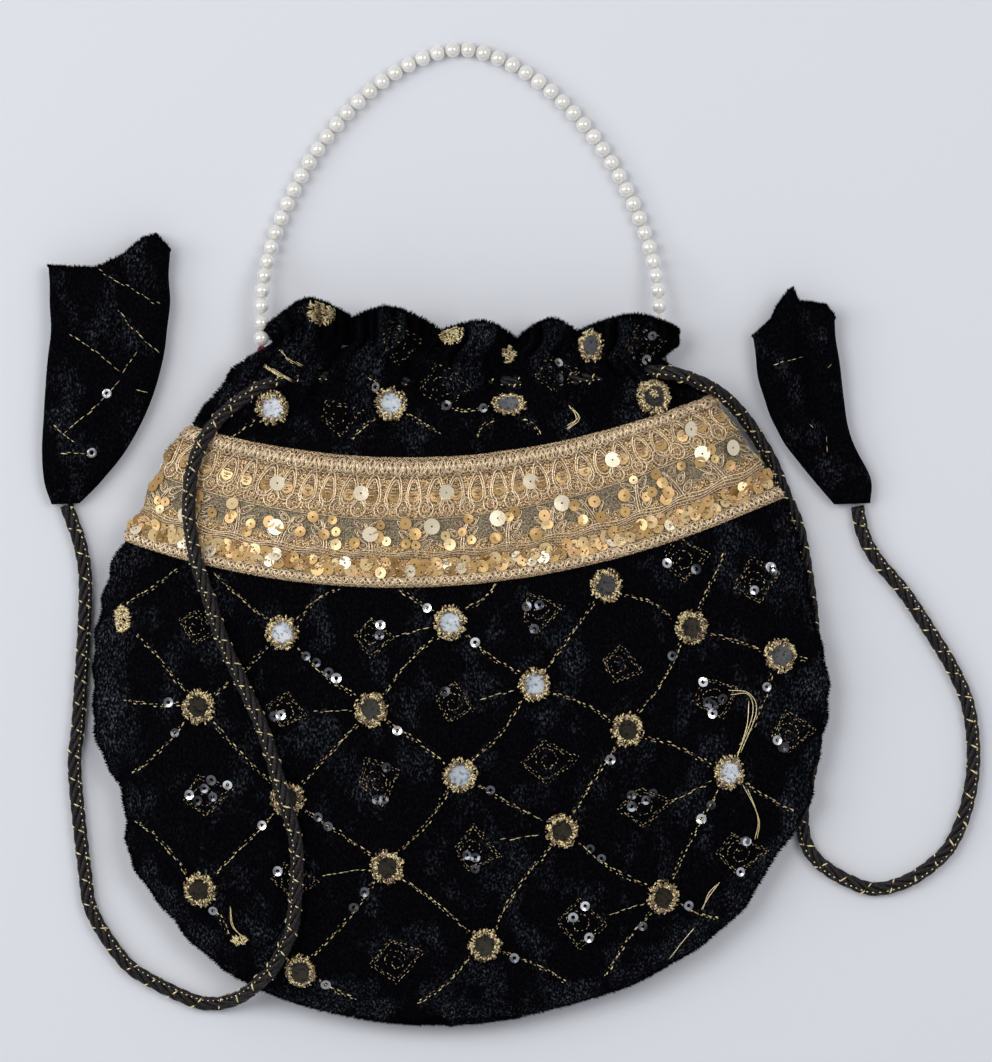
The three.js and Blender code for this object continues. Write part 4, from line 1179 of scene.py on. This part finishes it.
def loose_thread(work, points, draw, strands, spread=0.5 * MM):
    """Thread that lies on the cloth without being stitched down"""
    for _ in range(strands):
        moved = [(x * MM + draw.gauss(0, 1) * spread, y * MM + draw.gauss(0, 1) * spread) for x, y in points]
        flat = smooth_path(np.column_stack([moved, np.zeros(len(moved))]), 1.0 * MM)[:, :2]
        line, out = drop(work.tree, flat)
        if line is None:
            continue
        arch = np.sin(np.linspace(0, math.pi, len(line))) * THREAD_ARCH + 0.15 * MM
        work.gold.add(tube(line + out * arch[:, None], 0.14 * MM, 5, out), draw.uniform(0.5, 1.0))


def gold_clump(work, x, y, wide, tall, count, draw, bright=(0.4, 1.0)):
    """A patch of close stitches, as of a mirror's rim seen from its edge"""
    for _ in range(count):
        angle, share = draw.uniform(0, math.tau), math.sqrt(draw.random())
        at = np.array([x + wide * share * math.cos(angle), y + tall * share * math.sin(angle)]) * MM
        turn = draw.uniform(0, math.tau)
        step = 0.9 * MM * np.array([math.cos(turn), math.sin(turn)])
        line, out = drop(work.tree, [at - step, at, at + step])
        if line is None:
            continue
        rise = np.array([0.1, 0.9 * (1 - share) + 0.4, 0.1]) * MM
        work.gold.add(tube(line + out * rise[:, None], 0.26 * MM, 5, out), draw.uniform(*bright))


def embroidery():
    draw = random.Random(77)
    work = Needlework(surface)
    for pair in JOINED_MIRRORS:
        chain_line(work, mirror_places[pair[0]], mirror_places[pair[1]], draw, RINGS_ON_LINES.get(pair, 0))
    for number, (x, y) in LINES_OUT:
        chain_line(work, mirror_places[number], (x * MM, y * MM), draw, draw.choice([0, 0, 1]), True, False)
    chain_line(work, (-0.107, -0.023), (-0.090, -0.0115), draw, 0, False, False)
    for (x, y), sequins in MOTIFS:
        motif(work, x * MM, y * MM, sequins, draw)
    for (x, y), number in MOTIF_TIES:
        line = np.array([(x * MM, y * MM), mirror_places[number]])
        line[1] -= unit(line[1] - line[0]) * LINE_START
        stitch_along(work, line, draw, 1.8 * MM, 0.8, (0.4, 0.9), 0.25)
    loose_thread(work, [(-63, 52.6), (-58.5, 50.4), (-54.4, 48.4)], draw, 7, 0.35 * MM)
    loose_thread(work, [(85, -51), (91, -52), (92.6, -57.6), (88, -70.4)], draw, 2, 0.5 * MM)
    loose_thread(work, [(91, -54), (90.5, -62), (87.5, -72)], draw, 1)
    loose_thread(work, [(90.5, -81), (94, -90.5), (93.5, -97.6)], draw, 2, 0.6 * MM)
    loose_thread(work, [(81.6, -112), (78.6, -116), (76, -120)], draw, 2, 0.4 * MM)
    loose_thread(work, [(73, -126), (69, -130.4), (65.6, -134.6)], draw, 1)
    loose_thread(work, [(-58, 58), (-54.5, 54.5), (-50.5, 53)], draw, 2, 0.6 * MM)
    loose_thread(work, [(35, 40), (36.5, 36), (34, 33)], draw, 3, 0.5 * MM)
    loose_thread(work, [(-74, -119.5), (-73, -125), (-68, -130)], draw, 2, 0.4 * MM)
    gold_clump(work, -44.5, 70.5, 4.0, 4.6, 170, draw, (0.0, 0.8))
    gold_clump(work, -3.4, 63.6, 3.6, 3.6, 150, draw, (0.8, 1.0))
    gold_clump(work, 15, 56.5, 1.9, 3.0, 50, draw, (0.1, 0.8))
    gold_clump(work, 60.8, 45.4, 4.6, 2.6, 260, draw, (0.0, 0.8))
    loose_thread(work, [(59.5, 42), (60, 38.5), (61.6, 37.6), (62.4, 39.5), (61.4, 42)], draw, 2, 0.3 * MM)
    gold_clump(work, -108.2, -27.8, 2.2, 4.2, 90, draw, (0.2, 1.0))
    gold_clump(work, -70.6, -130, 2.4, 1.2, 24, draw)
    work.gold.made("gold_embroidery", GOLD, "rim")
    work.rings.made("ring_sequins", SILVER, "rim", smooth=False)


embroidery()


# Pearl handle: pearls on a thread along the arch, and the tails that run down into the frill
THREAD_RADIUS = 0.35 * MM
KNOT_LOOPS = 16
KNOT_RADIUS = 1.25 * MM
KNOT_THREAD_RADIUS = 0.24 * MM


def arch_point(share):
    cosine, sine = math.cos(math.pi * share), math.sin(math.pi * share)
    across = -math.copysign(abs(cosine) ** (2 / HANDLE_POWER), cosine)
    up = HANDLE_HEIGHT * abs(sine) ** (2 / HANDLE_POWER)
    height = blended(SEAM_HEIGHT, PEARL_RADIUS, float(smooth_between(up, 0, HANDLE_SETTLE)))
    middle = (LEFT_PIVOT_X + RIGHT_PIVOT_X) / 2
    half_span = (RIGHT_PIVOT_X - LEFT_PIVOT_X) / 2
    return (middle + half_span * across, PIVOT_Y + up, height)


def pearl_string(name, points, node, body, draw):
    """Pearls side by side along a line, with the thread through them"""
    line = resampled(np.asarray(points, float), 0.2 * MM)
    count = round(path_length(line) / PEARL_PITCH)
    places = (np.arange(count) + 0.5) / count * (len(line) - 1)
    centres = np.stack([np.interp(places, np.arange(len(line)), line[:, k]) for k in range(3)], axis=1)
    pearls = Shapes()
    for centre in centres:
        size = PEARL_RADIUS * draw.uniform(0.97, 1.0)
        pole = unit(np.array([draw.gauss(0, 1), draw.gauss(0, 1), 1.0]))
        pearls.stamp(ball(size), centre, pole, 0, draw.random())
    pearls.made(name, PEARL, "pearl", node, body=body)
    thread = Shapes()
    thread.add(tube(resampled(line, 1.5 * MM), THREAD_RADIUS), 0.2)
    thread.made(name + "_thread", CREAM_THREAD, "pearl", body=body)


draw = random.Random(5)
arch = [arch_point(share) for share in np.linspace(0, 1, 241)]
arch = [(arch[0][0], arch[0][1] - PEARL_RADIUS, arch[0][2])] + arch
arch.append((arch[-1][0], arch[-1][1] - PEARL_RADIUS, arch[-1][2]))
pearl_string("pearl_loop", arch, "pearl_handle", "handle", draw)
tail_top = PIVOT_Y - PEARL_RADIUS - TAIL_GAP
tail_end = tail_top - TAIL_PEARLS * PEARL_PITCH
for side, x in (("left", LEFT_PIVOT_X), ("right", RIGHT_PIVOT_X)):
    tail = [(x, tail_top, SEAM_HEIGHT), (x, tail_end, SEAM_HEIGHT)]
    pearl_string(f"pearls_{side}", tail, f"pearl_tail_{side}", "pouch", draw)

knot = Shapes()
knot_at = np.array([LEFT_PIVOT_X + 0.2 * MM, tail_end - 1.4 * MM, SEAM_HEIGHT + 0.8 * MM])
for _ in range(KNOT_LOOPS):
    turns = np.linspace(0, draw.uniform(2.0, 4.5), 8) + draw.uniform(0, math.tau)
    lean = unit(np.array([draw.gauss(0, 1) for _ in range(3)]))
    loop = KNOT_RADIUS * np.stack([np.cos(turns), np.sin(turns), 0.3 * np.sin(2 * turns)], axis=1)
    loop = loop @ facing(lean).T
    knot.add(tube(knot_at + loop, KNOT_THREAD_RADIUS, 5), draw.random())
knot.made("tie_knot", RED, "pearl")


# Tassels: scraps of velvet folded into a cone round the end of each cord
TASSEL_ROWS = 44
TASSEL_SIDES = 96
TASSEL_WALL = 0.7 * MM
TASSEL_NECK = 2.4 * MM
TASSEL_MOUTH = 5.0 * MM
TASSEL_INSIDE_ROWS = 20
TASSEL_INSIDE_FROM = 0.998
TASSEL_INSIDE_TO = 0.32
LEFT_TASSEL = {
    "left": [(-131.2, 8.8), (-133.6, 16.6), (-134.2, 29.4), (-132.8, 48.6), (-131.5, 67.8), (-131.8, 84.5)],
    "right": [(-122.2, 9.2), (-114.9, 16.6), (-105.3, 29.4), (-97, 48.6), (-93.6, 70), (-93.4, 89.5)],
    "rim": [(0, 0), (0.38, -2.5), (0.62, 0.6), (0.78, 5.2), (0.9, 5.6), (1, 0)],
    "crease": None,
}
RIGHT_TASSEL = {
    "left": [(119, 8.8), (112.3, 16.6), (102.4, 29.4), (96.6, 42.2), (94.2, 53), (93.4, 62)],
    "right": [(130.6, 9.2), (130.6, 17.4), (124.4, 30), (122.2, 42.2), (120.4, 56), (119, 67.8)],
    "rim": [(0, 0), (0.2, 4.5), (0.46, 13.5), (0.56, 8.0), (0.7, 6.8), (0.9, 4.6), (1, 0)],
    "crease": 0.56,
}


def edge_line(points, shares):
    line = smooth_path([(x * MM, y * MM, 0) for x, y in points], 0.5 * MM)[:, :2]
    places = np.asarray(shares) * (len(line) - 1)
    return np.stack([np.interp(places, np.arange(len(line)), line[:, k]) for k in range(2)], axis=-1)


def tassel_points(edges, shares, turns, inset):
    """Points of the folded scrap: along it from the cord by share, round it by turn"""
    left, right = (edge_line(edges[side], shares)[:, None] for side in ("left", "right"))
    share, turn = shares[:, None], turns[None, :]
    across = (1 - np.cos(turn)) / 2
    place = left + (right - left) * across[..., None]
    inward = unit(right - left) * inset * np.cos(turn)[..., None]
    rims = np.array(edges["rim"])
    rise = np.interp(across, rims[:, 0], rims[:, 1]) * MM * smooth_between(share, 0.62, 1.0)
    height = blended(TASSEL_NECK, TASSEL_MOUTH, np.sqrt(share))
    folds = 0.55 * MM * np.sin(across * 15 + 2.0 * np.sin(3 * share)) * smooth_between(share, 0.1, 0.5)
    round_up = np.abs(np.sin(turn)) ** 0.7 * np.sign(np.sin(turn))
    z = height + (height - inset) * round_up * 0.92 + np.where(round_up > 0, folds * round_up, 0)
    if edges["crease"] is not None:
        near = np.exp(-(((across - edges["crease"]) / 0.09) ** 2))
        z = z - np.where(round_up > 0, near * 0.55 * height * round_up * smooth_between(share, 0.12, 0.4), 0)
    x, y = (place + inward)[..., 0], (place + inward)[..., 1] + rise
    wobble = 0.5 * MM * ripples(x, y, 12 * MM, 41) * share
    z = np.maximum(z + np.where(round_up > 0, wobble, 0), 0.05 * MM)
    return np.stack([x + wobble * 0.6, y, z], axis=-1)


def tassel(name, edges, node):
    turns = np.linspace(0, math.tau, TASSEL_SIDES, endpoint=False)
    shares = np.linspace(0, 1, TASSEL_ROWS)
    outer = tassel_points(edges, shares, turns, 0.0)
    inside_shares = np.linspace(TASSEL_INSIDE_FROM, TASSEL_INSIDE_TO, TASSEL_INSIDE_ROWS)
    inner = tassel_points(edges, inside_shares, turns, TASSEL_WALL)
    rows = np.concatenate([outer, inner])
    ends = [outer[0].mean(axis=0), inner[-1].mean(axis=0)]
    points = np.concatenate([rows.reshape(-1, 3), ends])
    top, bottom = len(points) - 2, len(points) - 1
    faces = grid_faces(len(rows), TASSEL_SIDES) + fan(top, 0, TASSEL_SIDES)
    faces += flipped(fan(bottom, (len(rows) - 1) * TASSEL_SIDES, TASSEL_SIDES))
    piece = placed(mesh_object(name, points, faces, VELVET), "velvet", node)
    return piece, BVHTree.FromPolygons(points.tolist(), faces), outer[-1]


tassel_left, left_tree, left_rim = tassel("tassel_velvet_left", LEFT_TASSEL, "tassel_left")
tassel_right, right_tree, right_rim = tassel("tassel_velvet_right", RIGHT_TASSEL, "tassel_right")
TASSEL_LINES = {
    "left": [[(-116.5, 83.8), (-106, 78), (-95.6, 71.7)], [(-126, 63.7), (-117, 57.6), (-108.8, 50.9)],
             [(-108.8, 48.6), (-117, 40), (-127, 31.7)], [(-108.5, 50.2), (-103.7, 57.6)],
             [(-130.5, 34.2), (-123.8, 28.5)], [(-129.3, 25.3), (-117.4, 24.6)],
             [(-104.6, 45.4), (-99.8, 44.5)], [(-110, 71), (-104, 64), (-97, 57)]],
    "right": [[(99.2, 53.1), (104.6, 55), (109.1, 56)], [(110.7, 34.6), (112, 33)],
              [(116.5, 31), (116.8, 24.6)], [(116.2, 51.8), (118.7, 54.4)], [(119.7, 12.8), (120.4, 14)]],
}
for side, tree, seed in (("left", left_tree, 9), ("right", right_tree, 10)):
    work = Needlework(tree)
    draw = random.Random(seed)
    for line in TASSEL_LINES[side]:
        stitch_along(work, np.array(line) * MM, draw, 1.9 * MM, 0.8, (0.2, 0.9), 0.3)
    if side == "left":
        ring_sequin(work, -0.1133, 0.0442, 0.9, draw)
        ring_sequin(work, -0.1181, 0.0253, 0.7, draw)
        work.rings.made("tassel_sequins", SILVER, "rim")
    work.gold.made(f"tassel_gold_{side}", GOLD, "rim")


# Pile: short fibres that blur the outline, the frill's edge, the neck and the tassels' rims
SPIKE_ANGLES = (0, 2.094, 4.189)
NECK_FIBRES = 8000


def fibres(name, roots, outs, length, thick, seed, stray=0.3):
    """A closed three-sided spike at each root"""
    spread = np.random.default_rng(seed)
    count = len(roots)
    lean = unit(outs + spread.normal(0, stray, (count, 3)))
    tall = length * spread.uniform(1 - 1.5 * stray, 1.1, (count, 1))
    side = unit(np.cross(lean, spread.normal(0, 1, (count, 3))))
    over = np.cross(lean, side)
    corners = [roots + thick * (math.cos(a) * side + math.sin(a) * over) for a in SPIKE_ANGLES]
    points = np.stack([*corners, roots + lean * tall], axis=1)
    points[..., 2] = np.maximum(points[..., 2], 0.02 * MM)
    first = (np.arange(count) * 4)[:, None, None]
    faces = first + np.array([[0, 2, 1], [0, 1, 3], [1, 2, 3], [2, 0, 3]])[None]
    placed(mesh_object(name, points.reshape(-1, 3), faces.reshape(-1, 3).tolist(), VELVET, False), "velvet")


def seam_pile(name, count, length, thick, seed):
    """Fibres out from both side seams and the bottom, the lace left clear"""
    spread = np.random.default_rng(seed)
    level = np.concatenate([BELLY_Y - BOWL_DEPTH * np.cos(np.linspace(0.02, math.pi / 2, count)),
                            np.linspace(BELLY_Y, MOUTH_Y, count)])
    side = np.where(spread.random(2 * count) < 0.5, 0.0, math.pi)
    angle = side + spread.normal(0, 0.05, 2 * count)
    level = np.append(level, BELLY_Y - BOWL_DEPTH * spread.uniform(0.975, 0.9995, count // 2))
    angle = np.append(angle, spread.uniform(0, math.pi, count // 2))
    clear = (level < BAND_LOW_Y - 0.5 * MM) | (level > BAND_TOP_Y + 0.5 * MM)
    level, angle = level[clear], angle[clear]
    outs = cloth_normal(level, angle)
    outs[:, 0] += 1.2 * np.cos(angle) * np.abs(np.cos(angle)) ** 5
    outs[:, 1] -= 1.2 * (level < BELLY_Y - 0.96 * BOWL_DEPTH)
    fibres(name, cloth(level, angle), unit(outs), length, thick, seed + 1)


def frill_pile(name, count, length, thick, seed, stray=0.3):
    """Fibres out from the frill's edge, square to it"""
    spread = np.random.default_rng(seed)
    angle = np.linspace(0.01, math.pi - 0.01, count) + spread.normal(0, 0.002, count)
    level = MOUTH_Y - np.abs(spread.normal(0, 0.3, count)) * MM
    along = unit(cloth(MOUTH_Y, angle - 0.01) - cloth(MOUTH_Y, angle + 0.01))
    outs = np.stack([-along[:, 1], along[:, 0], np.full(count, 0.12)], axis=1)
    fibres(name, cloth(level, angle), unit(outs), length, thick, seed + 1, stray)


def rim_pile(name, rim, count, length, thick, seed):
    """Fibres up from a tassel's open end"""
    spread = np.random.default_rng(seed)
    closed = np.concatenate([rim, rim[:1]])
    share = spread.uniform(0, len(rim), count)
    index = share.astype(int)
    roots = closed[index] + (closed[index + 1] - closed[index]) * (share - index)[:, None]
    fibres(name, roots, np.tile([0.0, 1.0, 0.25], (count, 1)), length, thick, seed + 1)


seam_pile("seam_pile", 5000, 1.2 * MM, 0.12 * MM, 3)
seam_pile("seam_tufts", 1500, 1.5 * MM, 0.24 * MM, 5)
frill_pile("frill_pile", 5000, 1.2 * MM, 0.12 * MM, 12)
frill_pile("frill_tufts", 1000, 1.7 * MM, 0.26 * MM, 14, 0.16)
for side, rim in (("left", left_rim), ("right", right_rim)):
    rim_pile(f"tassel_pile_{side}", rim, 1400, 1.2 * MM, 0.12 * MM, 6)
    rim_pile(f"tassel_tufts_{side}", rim, 200, 1.6 * MM, 0.24 * MM, 8)
spread = np.random.default_rng(16)
nap_levels = spread.uniform(BAND_TOP_Y + 1.5 * MM, MOUTH_Y - 0.5 * MM, NECK_FIBRES)
nap_angles = spread.uniform(0.06, math.pi - 0.06, NECK_FIBRES)
nap_outs = cloth_normal(nap_levels, nap_angles) * 0.6 + np.array([0, 0.5, 0])
fibres("neck_pile", cloth(nap_levels, nap_angles), unit(nap_outs), 1.2 * MM, 0.16 * MM, 8)


# Lights, floor and world
def area_light(name, place, size, power):
    data = bpy.data.lights.new(name, "AREA")
    data.shape = "DISK"
    data.size = size
    data.energy = power
    lamp = bpy.data.objects.new(name, data)
    lamp.location = place
    lamp.rotation_euler = (-Vector(place)).to_track_quat("-Z", "Y").to_euler()
    bpy.context.scene.collection.objects.link(lamp)


area_light("left_softbox", (-0.8, 0.4, 1.5), 1.0, 9.5)
area_light("right_softbox", (0.8, 0.35, 1.5), 1.0, 7.5)
area_light("side_softbox", (-1.5, 0.2, 0.9), 0.8, 6.0)

FLOOR_HALF = 4.0
floor_finish = Finish("floor", (0.72, 0.73, 0.77), 0.7, Specular_IOR_Level=0.2)
floor_points = [(x * FLOOR_HALF, y * FLOOR_HALF, 0) for x, y in ((-1, -1), (1, -1), (1, 1), (-1, 1))]
floor = mesh_object("floor", floor_points, [[0, 1, 2, 3]], floor_finish.material, False)

# How the sky's grey falls off with height, from the side to overhead
SKY_STOPS = ((0.80, (0.86, 0.88, 0.92)), (0.95, (0.10, 0.105, 0.12)))
SKY_STRENGTH = 0.62
world = bpy.data.worlds.new("studio")
bpy.context.scene.world = world
world.use_nodes = True
world_nodes = world.node_tree.nodes
direction = world_nodes.new("ShaderNodeTexCoord")
parts = world_nodes.new("ShaderNodeSeparateXYZ")
sky = world_nodes.new("ShaderNodeValToRGB")
for element, (place, color) in zip(sky.color_ramp.elements, SKY_STOPS):
    element.position = place
    element.color = (*color, 1)
world.node_tree.links.new(direction.outputs["Generated"], parts.inputs["Vector"])
world.node_tree.links.new(parts.outputs["Z"], sky.inputs["Fac"])
world.node_tree.links.new(sky.outputs["Color"], world_nodes["Background"].inputs["Color"])
world_nodes["Background"].inputs["Strength"].default_value = SKY_STRENGTH
bpy.context.scene.view_settings.view_transform = "Standard"
